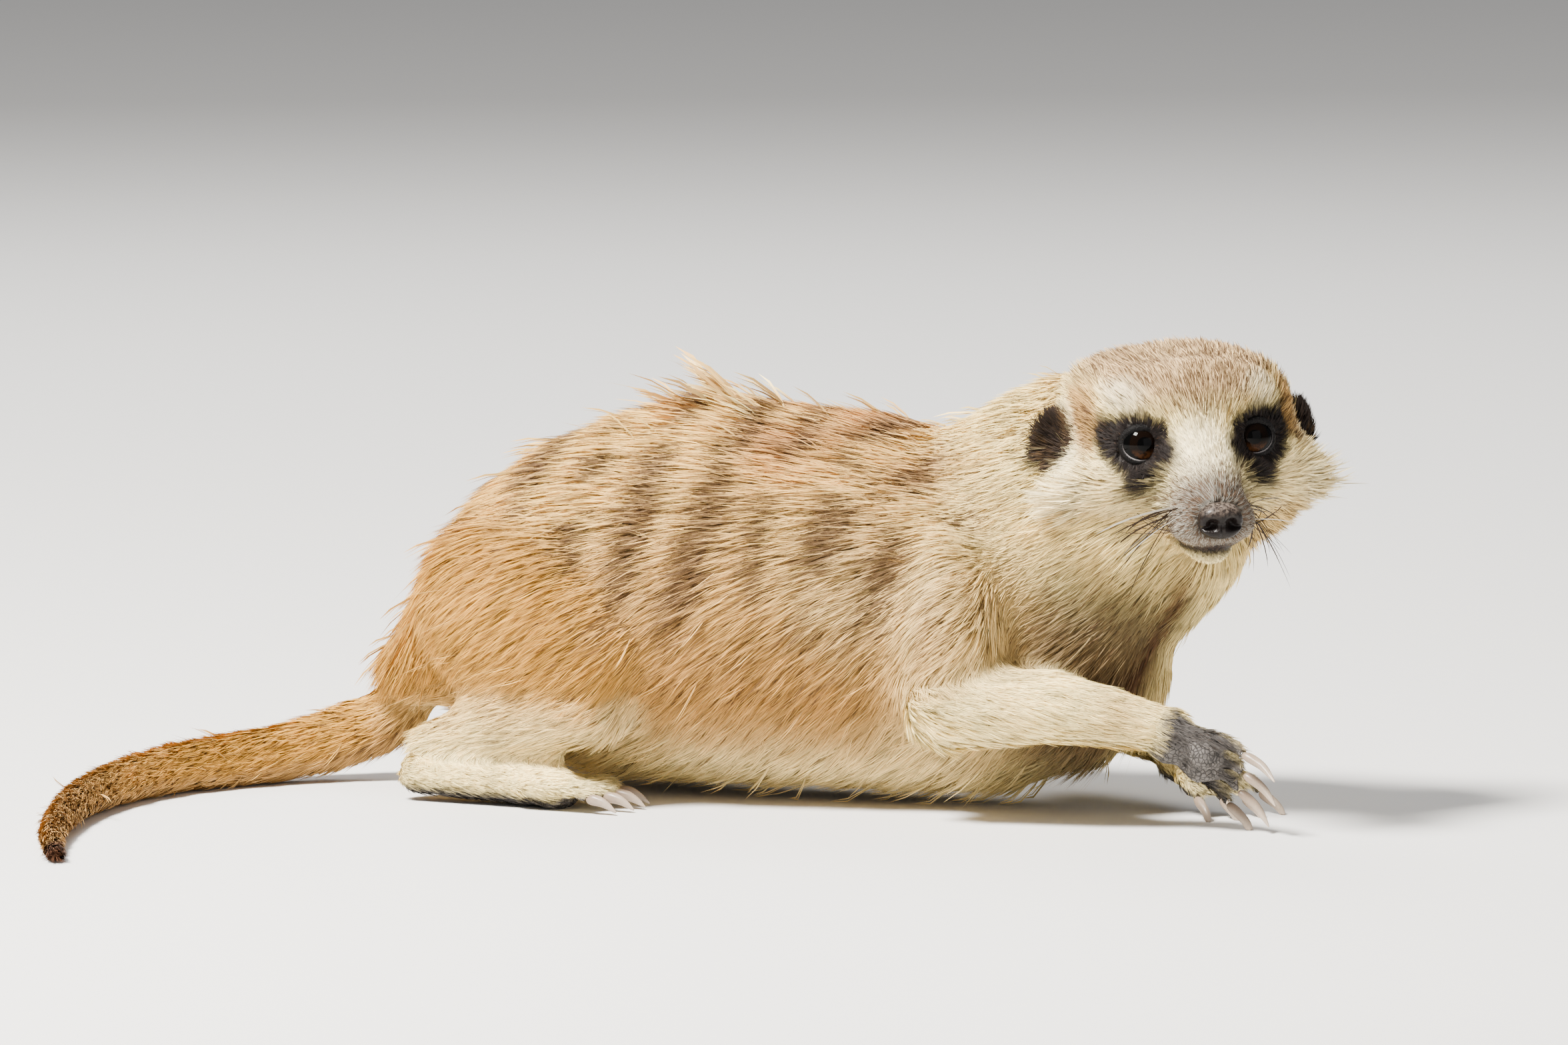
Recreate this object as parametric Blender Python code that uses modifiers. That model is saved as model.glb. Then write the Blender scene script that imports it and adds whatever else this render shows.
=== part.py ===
"""A life-size meerkat at rest: belly on the ground, head turned to its right, tail swept round.

Every sub-part is one closed solid whose surface is the outer limit of the coat.
Frame: +X forward along the trunk, +Y to the animal's left, +Z up. The finished model is moved
so that its origin is the bottom centre of its bounding box.
"""

import math

import bmesh
import bpy
import numpy as np
from mathutils import Euler, Matrix, Vector
from mathutils.bvhtree import BVHTree

# ---------------------------------------------------------------- driving dimensions
CM = 0.01                       # the anatomy below is in centimetres
GAP = 0.0003                    # clearance between neighbouring solids, metres
HEAD_AT = (9.69, -3.04, 7.97)   # midpoint between the eyes
HEAD_TURN = -62                 # degrees from straight ahead, negative to the right
HEAD_DROP = 10                  # degrees that the muzzle points below level
HEAD_ROLL = 3                   # degrees that the left ear stands above the right
EYE_RADIUS = 0.47
EYE_SPACING = 2.26              # between the two eyeballs' centres
EAR_SPACING = 5.45              # between the middles of the two ears
TAIL_ROOT_RADIUS = 0.85
CLAW_FORE_LENGTH = 0.92
CLAW_HIND_LENGTH = 0.65
TOE_COUNT = 4

# colour, roughness
COATS = {
    "coat_buff": ((0.62, 0.40, 0.20), 0.85),
    "coat_pale": ((0.78, 0.66, 0.47), 0.85),
    "coat_tan": ((0.45, 0.25, 0.10), 0.85),
    "coat_dark": ((0.05, 0.035, 0.025), 0.8),
    "claw_horn": ((0.55, 0.46, 0.38), 0.4),
    "nose_skin": ((0.02, 0.012, 0.010), 0.35),
    "eye_wet": ((0.03, 0.012, 0.006), 0.08),
}


# ---------------------------------------------------------------- scene and helpers
def clear_scene():
    for obj in list(bpy.data.objects):
        bpy.data.objects.remove(obj)


def collection(name):
    found = bpy.data.collections.get(name)
    if not found:
        found = bpy.data.collections.new(name)
        bpy.context.scene.collection.children.link(found)
    return found


def cutters():
    return collection("meerkat_cutters")


def material(name):
    found = bpy.data.materials.get(name)
    if found:
        return found
    colour, roughness = COATS[name]
    made = bpy.data.materials.new(name)
    made.use_nodes = True
    shader = made.node_tree.nodes["Principled BSDF"]
    shader.inputs["Base Color"].default_value = (*colour, 1)
    shader.inputs["Roughness"].default_value = roughness
    shader.inputs["Metallic"].default_value = 0
    return made


def smooth_between(stations, rows):
    """A Catmull-Rom curve through the rows of a table, `rows` steps from each row to the next."""
    table = np.array(stations, float)
    padded = np.vstack([2 * table[0] - table[1], table, 2 * table[-1] - table[-2]])
    out = []
    for i in range(1, len(padded) - 2):
        a, b, c, d = padded[i - 1:i + 3]
        for t in np.linspace(0, 1, rows, endpoint=False):
            out.append(0.5 * (2 * b + (c - a) * t + (2 * a - 5 * b + 4 * c - d) * t ** 2
                              + (3 * b - a - 3 * c + d) * t ** 3))
    out.append(padded[-2])
    return np.array(out)


def loft(stations, sides=16, rows=3, dome=3):
    """A closed tube with a domed end at each side, through stations
    (forward, left, up, half width, half height above, half height below)."""
    path = smooth_between(stations, rows)
    centres, sizes = path[:, :3], np.maximum(path[:, 3:], 0.02)
    tangents = np.gradient(centres, axis=0)
    tangents /= np.linalg.norm(tangents, axis=1)[:, None]
    rings = []
    lefts = [np.cross((0, 0, 1), tangents[0])]
    for tangent in tangents:
        carried = lefts[-1] - (lefts[-1] @ tangent) * tangent
        lefts.append(carried / np.linalg.norm(carried))
    lefts = lefts[1:]

    def ring(centre, index, size):
        left, tangent = lefts[index], tangents[index]
        above = np.cross(tangent, left)
        angles = np.linspace(0, 2 * math.pi, sides, endpoint=False)
        across, rise = np.cos(angles) * size[0], np.sin(angles)
        rise = np.where(rise > 0, rise * size[1], rise * size[2])
        rings.append(centre + across[:, None] * left + rise[:, None] * above)

    def end(index, way):
        """Rings that shrink along a quarter ellipse beyond the last station."""
        reach = 0.8 * sizes[index].mean()
        steps = [math.pi / 2 * k / (dome + 1) for k in range(1, dome + 1)]
        for angle in steps if way > 0 else steps[::-1]:
            centre = centres[index] + way * reach * math.sin(angle) * tangents[index]
            ring(centre, index, sizes[index] * math.cos(angle))
        return centres[index] + way * reach * tangents[index]

    first_pole = end(0, -1)
    for index, (centre, size) in enumerate(zip(centres, sizes)):
        ring(centre, index, size)
    last_pole = end(-1, 1)

    mesh = bmesh.new()
    loops = [[mesh.verts.new(Vector(point) * CM) for point in points] for points in rings]
    for lower, upper in zip(loops, loops[1:]):
        for k in range(sides):
            after = (k + 1) % sides
            mesh.faces.new((lower[k], lower[after], upper[after], upper[k]))
    for pole, loop, flip in ((first_pole, loops[0], True), (last_pole, loops[-1], False)):
        tip = mesh.verts.new(Vector(pole) * CM)
        for k in range(sides):
            corners = (loop[k], loop[(k + 1) % sides], tip)
            mesh.faces.new(corners[::-1] if flip else corners)
    bmesh.ops.recalc_face_normals(mesh, faces=mesh.faces)
    return mesh


def ball(centre, radii, turn=(0, 0, 0), segments=24, rings=14):
    """An ellipsoid; turn is in degrees about X, Y and Z."""
    place = Matrix.Translation(Vector(centre) * CM)
    place @= Euler([math.radians(a) for a in turn]).to_matrix().to_4x4()
    place @= Matrix.Diagonal((*[r * CM for r in radii], 1))
    mesh = bmesh.new()
    bmesh.ops.create_uvsphere(mesh, u_segments=segments, v_segments=rings, radius=1, matrix=place)
    return mesh


def both(make):
    """The shape that make(side) builds, on the left (+1) and on the right (-1)."""
    return [make(1), make(-1)]


def as_object(mesh, name, where, coat, place=None):
    """A bmesh as an object; place carries it from a local frame to the body's."""
    data = bpy.data.meshes.new(name)
    if place:
        bmesh.ops.transform(mesh, matrix=place, verts=mesh.verts)
    mesh.to_mesh(data)
    mesh.free()
    obj = bpy.data.objects.new(name, data)
    where.objects.link(obj)
    data.materials.append(material(coat))
    data.shade_smooth()
    return obj


def evaluated_mesh(obj):
    graph = bpy.context.evaluated_depsgraph_get()
    graph.update()
    return bpy.data.meshes.new_from_object(obj.evaluated_get(graph))


def fused(meshes, name, where, coat, voxel, triangles, place=None, soften=6):
    """Overlapping masses grown into one skin: voxel remesh, smoothing, then fewer triangles."""
    whole = bmesh.new()
    for mesh in meshes:
        data = bpy.data.meshes.new("mass")
        mesh.to_mesh(data)
        mesh.free()
        whole.from_mesh(data)
        bpy.data.meshes.remove(data)
    obj = as_object(whole, name, where, coat)
    remesh = obj.modifiers.new("grow together", "REMESH")
    remesh.mode = "VOXEL"
    remesh.voxel_size = voxel * CM
    smooth = obj.modifiers.new("soften", "SMOOTH")
    smooth.factor = 0.5
    smooth.iterations = soften
    dense = evaluated_mesh(obj)
    count = sum(len(face.vertices) - 2 for face in dense.polygons)
    fewer = obj.modifiers.new("thin out", "DECIMATE")
    fewer.ratio = min(1, triangles / count)
    light = evaluated_mesh(obj)
    obj.modifiers.clear()
    obj.data = light
    if place:
        light.transform(place)
    light.shade_smooth()
    return obj


# ---------------------------------------------------------------- trunk, neck and tail
def trunk(where):
    """An arched back over a belly on the ground. Stations from the rump to the chest."""
    stations = [
        (-8.2, 0, 2.50, 2.0, 1.3, 1.4),      # rump, over the root of the tail
        (-7.2, 0, 3.10, 3.1, 2.1, 2.5),      # buttocks
        (-5.8, 0, 3.65, 3.8, 3.25, 3.75),    # hips
        (-4.6, 0, 3.90, 4.0, 3.85, 4.05),
        (-3.2, 0, 4.10, 4.12, 4.2, 4.25),    # loins
        (-0.8, 0, 4.30, 4.1, 4.28, 4.45),    # highest point of the back
        (1.6, 0, 4.25, 3.85, 4.15, 4.4),     # ribs
        (3.8, -0.05, 4.05, 3.6, 4.05, 4.2),  # shoulders
        (5.4, -0.15, 3.90, 3.2, 3.6, 3.95),
        (6.3, -0.3, 3.75, 2.65, 2.95, 3.45), # front of the chest
    ]
    return as_object(loft(stations, sides=18, rows=1, dome=2), "trunk", where, "coat_buff")


def neck(where):
    """From between the shoulders up, forward and round to the right, into the skull."""
    stations = [
        (4.0, 0, 4.6, 2.5, 3.3, 2.8),
        (5.7, 0.1, 5.5, 2.95, 3.55, 3.1),
        (7.0, -0.3, 6.2, 2.85, 3.45, 3.15),
        (8.3, -1.3, 6.7, 2.4, 3.0, 2.7),
    ]
    return as_object(loft(stations, sides=14, rows=2, dome=1), "neck", where, "coat_pale")


def tail(where):
    """Four lengths along one curve that comes down to the ground and sweeps to the right."""
    line = [
        (-7.7, 0, 2.5),
        (-9.2, -0.3, 1.35),
        (-10.9, -1.5, 0.75),
        (-12.4, -3.9, 0.62),
        (-12.8, -6.8, 0.56),
        (-12.4, -10.0, 0.50),
        (-11.5, -13.1, 0.40),
        (-10.6, -15.2, 0.25),
    ]
    taper = np.linspace(TAIL_ROOT_RADIUS, 0.28, len(line))
    stations = [(*point, r, r, r) for point, r in zip(line, taper)]
    for name, first, last in (("root", 0, 2), ("upper", 2, 4), ("lower", 4, 6), ("tip", 6, 7)):
        length = smooth_between(stations, 2)[first * 2:last * 2 + 1]
        coat = "coat_dark" if name == "tip" else "coat_tan"
        as_object(loft(length, sides=9, rows=1, dome=1), "tail_" + name, where, coat)


# ---------------------------------------------------------------- legs
def foreleg(side, where, scapula, shoulder, elbow, middle, wrist):
    """Upper arm from the shoulder blade to the elbow, forearm from the elbow to the wrist.
    The upper arm's narrow end is buried in the forearm's elbow."""
    upper = [(*scapula, 0.9, 1.3, 1.3), (*shoulder, 1.25, 1.6, 1.5), (*elbow, 0.8, 0.85, 0.85)]
    lower = [(*elbow, 1.1, 1.15, 1.15), (*middle, 0.92, 0.92, 0.95), (*wrist, 0.66, 0.66, 0.66)]
    as_object(loft(upper, sides=11, rows=2, dome=1), "upper_arm_" + side, where, "coat_buff")
    as_object(loft(lower, sides=10, rows=2, dome=1), "forearm_" + side, where, "coat_pale")


def hind_leg(side, sign, where):
    """Thigh folded over the shank, which lies on the long foot."""
    thigh = [
        (-6.3, sign * 2.2, 4.3, 1.6, 2.1, 2.1),
        (-4.8, sign * 2.9, 3.7, 1.75, 2.6, 2.5),
        (-3.2, sign * 3.4, 3.0, 1.3, 1.8, 1.7),
    ]
    shank = [
        (-3.2, sign * 3.4, 2.35, 1.0, 1.2, 1.2),
        (-5.2, sign * 3.3, 1.8, 0.95, 1.1, 1.1),
        (-6.95, sign * 3.12, 1.18, 0.56, 0.62, 0.62),
    ]
    as_object(loft(thigh, sides=12, rows=2, dome=1), "thigh_" + side, where, "coat_buff")
    as_object(loft(shank, sides=10, rows=1, dome=2), "shank_" + side, where, "coat_pale")


def claw(length, root_radius):
    """A tapering horn along +X that curves down as it goes out."""
    stations = [
        (0.0, 0, 0.00, root_radius, root_radius * 1.2, root_radius * 1.1),
        (0.5 * length, 0, -0.05 * length, root_radius * 0.8, root_radius, root_radius * 0.9),
        (0.97 * length, 0, -0.34 * length, 0.028, 0.03, 0.03),
    ]
    return loft(stations, sides=5, rows=1, dome=0)


def paw(name, place, where, toe_root, toe_length, toe_radius, claw_length, palm, pads):
    """A foot in its own frame, +X to the toes and +Z to its back, with a claw in each toe."""
    masses = palm + [ball(at, size) for at, size in pads]
    for k in range(TOE_COUNT):
        spread = (k - (TOE_COUNT - 1) / 2) * 2 * toe_radius * 1.12
        outer = abs(k - (TOE_COUNT - 1) / 2) > 1
        reach = toe_length * (0.82 if outer else 1)
        fan = 1 + 0.28 * reach / toe_root
        root = (toe_root * 0.75, spread * 0.9, 0.0)
        knuckle = (toe_root + reach * 0.45, spread * (1 + fan) / 2, 0.06)
        tip = (toe_root + reach, spread * fan, -0.10)
        toe = [(*root, toe_radius, toe_radius, toe_radius),
               (*knuckle, toe_radius, toe_radius, toe_radius),
               (*tip, toe_radius * 0.85, toe_radius * 0.8, toe_radius * 0.8)]
        masses.append(loft(toe, sides=12, rows=3))
        horn = claw(claw_length, toe_radius * 0.6)
        turn = math.atan2(tip[1] - root[1], tip[0] - root[0])
        socket = Matrix.Translation(Vector(tip) * CM) @ Matrix.Rotation(turn, 4, "Z")
        as_object(horn, f"claw_{name}_{k + 1}", where, "claw_horn", place @ socket)
    fused(masses, "paw_" + name, where, "coat_pale", 0.08, 210, place, soften=3)


def foot_place(at, turn, drop, roll):
    angles = Euler([math.radians(a) for a in (roll, drop, turn)])
    return Matrix.Translation(Vector(at) * CM) @ angles.to_matrix().to_4x4()


def forepaw(side, at, turn, drop, roll, where):
    palm = [
        ball((0.0, 0, 0.0), (0.66, 0.64, 0.62)),
        ball((0.75, 0, 0.0), (0.9, 0.72, 0.42)),
    ]
    pads = [((0.15, 0.12, -0.42), (0.42, 0.36, 0.26))]
    pads += [((0.95, k * 0.3, -0.28), (0.38, 0.26, 0.24)) for k in (-1, 1)]
    place = foot_place(at, turn, drop, roll)
    paw("fore_" + side, place, where, 1.1, 0.85, 0.215, CLAW_FORE_LENGTH, palm, pads)


def hind_foot(side, sign, where):
    sole = [
        loft([(0.05, 0, 0.05, 0.50, 0.54, 0.52), (1.6, 0, 0.02, 0.62, 0.6, 0.5),
              (3.4, 0, -0.08, 0.8, 0.52, 0.42)], sides=16, rows=3),
    ]
    pads = [((3.3, k * 0.35, -0.24), (0.45, 0.3, 0.25)) for k in (-1, 1)]
    place = foot_place((-7.35, sign * 3.35, 0.52), -sign * 2 + sign * 6, 1.5, 0)
    paw("hind_" + side, place, where, 3.7, 0.85, 0.23, CLAW_HIND_LENGTH, sole, pads)


# ---------------------------------------------------------------- head
def head_place():
    return foot_place(HEAD_AT, HEAD_TURN, HEAD_DROP, HEAD_ROLL)


def head(where):
    """Masses of the head in its own frame: origin between the eyes, +X to the nose."""
    masses = [
        ball((-2.3, 0, 0.0), (2.3, 2.65, 1.62)),         # braincase
        ball((-1.0, 0, 0.34), (1.55, 2.05, 1.36)),       # forehead
        ball((-1.7, 0, -1.20), (1.75, 3.05, 1.80)),      # ruff
        ball((-1.0, 0, -1.35), (2.1, 1.7, 0.95)),        # jaw
        loft([(-0.6, 0, 0.1, 1.2, 1.0, 1.0), (0.8, 0, -0.5, 0.88, 0.72, 0.8),
              (2.22, 0, -0.98, 0.55, 0.46, 0.52)], sides=18, rows=3),       # bridge and muzzle
        loft([(-0.4, 0, -1.5, 1.1, 0.7, 0.85), (0.9, 0, -1.7, 0.7, 0.5, 0.62),
              (1.74, 0, -1.6, 0.46, 0.38, 0.5)], sides=16, rows=3),         # lower jaw
    ]
    masses += both(lambda s: ball((-1.1, s * 1.3, -0.80), (1.45, 1.2, 1.15)))        # cheeks
    masses += both(lambda s: ball((-0.2, s * 0.95, -0.75), (0.95, 0.75, 0.65)))      # under the eyes
    masses += both(lambda s: ball((-0.35, s * 1.05, 0.45), (0.62, 0.72, 0.45)))      # brows
    masses += both(lambda s: ball((1.4, s * 0.42, -1.18), (0.92, 0.54, 0.50)))        # lips
    return fused(masses, "head", where, "coat_pale", 0.11, 880, head_place(), soften=14)


def head_features(skull, where):
    place = head_place()
    nose = ball((2.42, 0, -0.98), (0.36, 0.46, 0.36), (0, 12, 0), 12, 7)
    as_object(nose, "nose", where, "nose_skin", place)
    for side, sign in (("right", -1), ("left", 1)):
        eye = ball((-0.27, sign * EYE_SPACING / 2, 0.0), [EYE_RADIUS] * 3, (0, 90, 0), 12, 6)
        as_object(eye, "eye_" + side, where, "eye_wet", place)
        ear(side, sign, skull, where, place)


def ear(side, sign, skull, where, place):
    """A low crescent flat against the head, hollowed on its outer face."""
    at = Vector((-1.95, sign * EAR_SPACING / 2, -0.36))
    turn = (sign * 6, 0, -sign * 32)
    shell = as_object(ball(at, (0.54, 0.26, 0.68), turn, 12, 8), "ear_" + side, where,
                      "coat_dark", place)
    outwards = Euler([math.radians(a) for a in turn]).to_matrix() @ Vector((0, sign * 0.26, -0.08))
    hollow = ball(at + outwards, (0.36, 0.16, 0.46), turn, 10, 6)
    hollow = as_object(hollow, "hollow_" + side, cutters(), "coat_dark", place)
    cut_away(shell, hollow)
    cut_away(skull, hollow)


# ---------------------------------------------------------------- parting
def hide(obj):
    obj.hide_render = True
    obj.display_type = "WIRE"


def cut_away(obj, cutter):
    hide(cutter)
    cut = obj.modifiers.new("without " + cutter.name, "BOOLEAN")
    cut.operation = "DIFFERENCE"
    cut.solver = "MANIFOLD"     # the exact solver loses the trunk where beds nearly coincide
    cut.object = cutter


def grown_copy(obj):
    """The solid grown by the clearance all round, to cut its bed in a neighbour."""
    copy = bpy.data.objects.new("bed_" + obj.name, evaluated_mesh(obj))
    cutters().objects.link(copy)
    grow = copy.modifiers.new("clearance", "DISPLACE")
    grow.strength = GAP
    grow.mid_level = 0
    hide(copy)
    return copy


def corners(obj):
    graph = bpy.context.evaluated_depsgraph_get()
    box = np.array(obj.evaluated_get(graph).bound_box)
    return box.min(0), box.max(0)


def part_neighbours(order):
    """Of any two solids that meet, the one later in the order keeps its shape and the
    earlier one gets a bed for it."""
    beds = [grown_copy(obj) for obj in order]
    graph = bpy.context.evaluated_depsgraph_get()
    trees = [BVHTree.FromObject(obj, graph) for obj in order]
    bed_trees = [BVHTree.FromObject(bed, graph) for bed in beds]
    for i, obj in enumerate(order):
        for k in range(i + 1, len(order)):
            if trees[i].overlap(bed_trees[k]):
                cut_away(obj, beds[k])


def stand_on_floor(nodes, floor):
    """Trims whatever lies below the ground to a flat at its level."""
    for obj in nodes:
        if corners(obj)[0][2] < 0:
            cut_away(obj, floor)


def floor_block():
    size, depth = 0.6, 0.05     # metres, wider than the animal
    mesh = bmesh.new()
    place = Matrix.Translation((0, 0, -depth / 2)) @ Matrix.Diagonal((size, size, depth, 1))
    bmesh.ops.create_cube(mesh, size=1, matrix=place)
    return as_object(mesh, "floor_block", cutters(), "coat_buff")


def centre_on_origin(nodes):
    """Moves everything so that the origin is the bottom centre of the bounding box."""
    bpy.context.view_layer.update()
    boxes = [corners(obj) for obj in nodes]
    low = np.min([box[0] for box in boxes], axis=0)
    high = np.max([box[1] for box in boxes], axis=0)
    root = bpy.data.objects.new("meerkat_origin", None)
    bpy.context.scene.collection.objects.link(root)
    for obj in [*nodes, *cutters().objects]:
        obj.parent = root
    root.location = (-(low[0] + high[0]) / 2, -(low[1] + high[1]) / 2, -low[2])


PARTING_ORDER = (
    "paw", "trunk", "neck", "upper_arm", "thigh", "forearm", "shank", "tail_root",
    "tail_upper", "tail_lower", "tail_tip", "head", "ear", "nose", "claw", "eye",
)


def parting_rank(obj):
    return next(i for i, start in enumerate(PARTING_ORDER) if obj.name.startswith(start))


def build():
    clear_scene()
    body = collection("meerkat")
    trunk(body)
    neck(body)
    tail(body)
    foreleg("right", body, scapula=(4.4, -2.5, 5.2), shoulder=(4.55, -2.95, 3.8),
            elbow=(4.25, -3.4, 2.4), middle=(6.6, -3.5, 2.5), wrist=(8.65, -3.0, 2.1))
    foreleg("left", body, scapula=(4.5, 2.4, 5.2), shoulder=(4.8, 2.75, 3.6),
            elbow=(4.8, 3.0, 2.0), middle=(6.4, 2.1, 1.7), wrist=(8.0, 0.65, 1.3))
    forepaw("right", (9.0, -2.95, 2.0), turn=0, drop=29, roll=-52, where=body)
    forepaw("left", (8.2, 0.5, 1.1), turn=-34, drop=20, roll=0, where=body)
    for side, sign in (("right", -1), ("left", 1)):
        hind_leg(side, sign, body)
        hind_foot(side, sign, body)
    head_features(head(body), body)
    nodes = sorted(body.objects, key=parting_rank)
    part_neighbours(nodes)
    stand_on_floor(nodes, floor_block())
    centre_on_origin(nodes)


build()
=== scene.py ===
"""Looks of a life-size meerkat lying on its belly, its head raised and turned to its right.

One skin is grown over the frame's solids of flesh and let in by the depth of the coat. Fields on the
skin say how the hair lies, how long it is and what colour it has, and Geometry Nodes grow the coat from
them in flat tapering blades. Eyes, lids, nose, claws and whiskers are pieces of their own.
Body coordinates: +X forward, +Y to the animal's left, +Z up, in metres. Head coordinates: forward, left
and up of the skull, in centimetres from just before the point between the eyes.
"""

import itertools
import math

import bmesh
import bpy
import numpy as np
from bpy.props import FloatProperty, FloatVectorProperty, IntProperty, PointerProperty
from mathutils import Matrix, Vector
from mathutils.bvhtree import BVHTree


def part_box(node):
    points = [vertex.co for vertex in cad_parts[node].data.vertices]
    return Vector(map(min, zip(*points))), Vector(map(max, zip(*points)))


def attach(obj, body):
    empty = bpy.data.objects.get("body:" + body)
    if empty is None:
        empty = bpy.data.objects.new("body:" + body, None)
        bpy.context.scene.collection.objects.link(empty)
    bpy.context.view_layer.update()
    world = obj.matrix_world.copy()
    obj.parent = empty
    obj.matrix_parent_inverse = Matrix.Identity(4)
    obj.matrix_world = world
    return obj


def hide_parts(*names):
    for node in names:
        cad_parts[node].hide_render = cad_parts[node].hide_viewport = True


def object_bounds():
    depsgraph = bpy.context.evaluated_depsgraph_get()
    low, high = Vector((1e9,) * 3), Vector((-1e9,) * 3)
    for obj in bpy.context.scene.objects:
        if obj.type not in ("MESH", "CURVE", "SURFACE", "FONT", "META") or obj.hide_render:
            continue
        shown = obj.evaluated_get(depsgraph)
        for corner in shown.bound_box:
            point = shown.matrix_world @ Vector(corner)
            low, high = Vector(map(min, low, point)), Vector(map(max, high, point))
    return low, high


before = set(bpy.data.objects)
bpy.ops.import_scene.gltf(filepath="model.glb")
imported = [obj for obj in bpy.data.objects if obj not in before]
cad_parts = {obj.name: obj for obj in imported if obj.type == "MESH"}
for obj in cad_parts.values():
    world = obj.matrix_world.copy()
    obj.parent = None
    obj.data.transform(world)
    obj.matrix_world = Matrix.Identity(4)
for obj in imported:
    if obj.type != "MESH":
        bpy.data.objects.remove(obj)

bl_info = {
    "name": "Meerkat at rest",
    "version": (1, 0, 0),
    "blender": (4, 5, 0),
    "location": "3D View > Sidebar > Meerkat",
    "description": "Skin, coat, eyes, nose, claws and whiskers over a meerkat's solids, with a studio floor",
    "category": "Object",
}

MM, CM = 0.001, 0.01
CAD_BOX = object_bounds()
APART = ("claw", "eye", "nose")
FLESH = [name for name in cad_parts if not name.startswith(APART)]
SIDES = (("right", -1), ("left", 1))
PAWS = [(limb, side) for limb in ("fore", "hind") for side, _ in SIDES]
TOES = (1, 2, 3, 4)
MUZZLE_FALL = math.radians(20.0)   # the nose lies this far below the head's level, seen from the eyes
EYE_SET_BACK = 0.27                # cm from the head's origin back to the eyeballs' centres
EYE_ASIDE, EYE_RADIUS = 1.13, 0.47           # cm
NOSE_AT, NOSE_RADII = (2.36, 0, -0.96), (0.33, 0.46, 0.37)
WORK = {}                          # the skin and the coat's node tree, made first and used by other operators


# ---------------- small helpers
def unit(vectors):
    vectors = np.asarray(vectors, float)
    return vectors / np.maximum(np.linalg.norm(vectors, axis=-1, keepdims=True), 1e-9)


def centre_of(node):
    low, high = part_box(node)
    return np.array((low + high) / 2)


def in_box(places, node, margin):
    """Which places are in a node's box, grown by a margin."""
    low, high = (np.array(corner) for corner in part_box(node))
    return ((places > low - margin) & (places < high + margin)).all(axis=1)


def step(low, high, values):
    """0 below low, 1 above high and an even curve between."""
    t = np.clip((np.asarray(values, float) - low) / (high - low), 0, 1)
    return t * t * (3 - 2 * t)


def blend(first, second, share):
    """first where share is 0 and second where it is 1; colours and vectors take one share each."""
    first, second = np.asarray(first, float), np.asarray(second, float)
    if max(first.ndim, second.ndim) > 1 or 3 in first.shape[:1] + second.shape[:1]:
        share = np.asarray(share)[:, None]
    return first + (second - first) * share


def noise(places, size, seed=0):
    """Even noise from 0 to 1 in lumps about size across; size may be one number or one for each axis."""
    at = places / np.asarray(size, float) + 31.7 * (seed + 1)
    cell = np.floor(at).astype(np.int64)
    part = at - cell
    part = part * part * (3 - 2 * part)
    total = np.zeros(len(places))
    for corner in itertools.product((0, 1), repeat=3):
        key = (cell + corner) @ np.array([73856093, 19349663, 83492791])
        key = (key ^ (key >> 13)) * 1274126177 % 2147483647
        total += np.prod(np.where(corner, part, 1 - part), axis=1) * ((key >> 9) % 4096 / 4096)
    return total


def ridge(away, width):
    """1 where away is 0 and falling evenly to the sides."""
    return np.exp(-(away / width) ** 2)


def within(places, centre, radii, soft=0.35):
    """1 well inside an ellipsoid and 0 well outside it."""
    reach = np.linalg.norm((places - np.array(centre)) / np.array(radii), axis=1)
    return 1 - step(1 - soft, 1 + soft, reach)


def read(items, key, width, kind=np.float32):
    """What a mesh's items hold under a key, one row for each."""
    flat = np.empty(len(items) * width, kind)
    items.foreach_get(key, flat)
    return flat.reshape(-1, width)


def places_in(mesh):
    return read(mesh.vertices, "co", 3).astype(float)


def put_places(mesh, places):
    mesh.vertices.foreach_set("co", np.asarray(places, np.float32).ravel())
    mesh.update()


def normals_of(mesh):
    return read(mesh.vertex_normals, "vector", 3).astype(float)


def edges_of(mesh):
    return read(mesh.edges, "vertices", 2, np.int32)


def spread(values, edges, rounds, weight=0.5):
    """Values drawn towards the mean of their neighbours'; weight may differ from vertex to vertex."""
    values = np.asarray(values, float)
    table = values.reshape(len(values), -1)
    first, second = edges.T
    count = np.maximum(np.bincount(edges.ravel(), minlength=len(table)), 1)[:, None]
    weight = weight.reshape(-1, 1) if np.ndim(weight) else weight
    for _ in range(rounds):
        mean = np.stack([np.bincount(first, column[second], len(table))
                         + np.bincount(second, column[first], len(table))
                         for column in table.T], axis=1) / count
        table = table + weight * (mean - table)
    return table.reshape(values.shape)


def field(mesh, name, values):
    """Values kept on the mesh's vertices: numbers, vectors of three or colours of four."""
    values = np.asarray(values, np.float32)
    kind, key = ("FLOAT", "value") if values.ndim == 1 else ("FLOAT_VECTOR", "vector")
    if values.ndim == 2 and values.shape[1] == 4:
        kind, key = "FLOAT_COLOR", "color"
    mesh.attributes.new(name, kind, "POINT").data.foreach_set(key, values.ravel())


def new_object(name, data):
    obj = bpy.data.objects.new(name, data)
    bpy.context.scene.collection.objects.link(obj)
    return obj


def shape_of(*meshes):
    """A bmesh of all the meshes."""
    shape = bmesh.new()
    for mesh in meshes:
        shape.from_mesh(mesh)
    return shape


def poured(shape, mesh):
    """The bmesh written to a mesh, or to a new one of that name, and freed."""
    mesh = bpy.data.meshes.new(mesh) if isinstance(mesh, str) else mesh
    shape.to_mesh(mesh)
    shape.free()
    mesh.update()
    return mesh


def merged(name, nodes):
    """An object of the CAD nodes' meshes, their doubles merged."""
    shape = shape_of(*[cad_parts[node].data for node in nodes])
    bmesh.ops.remove_doubles(shape, verts=shape.verts, dist=1e-6)
    return new_object(name, poured(shape, name))


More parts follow.
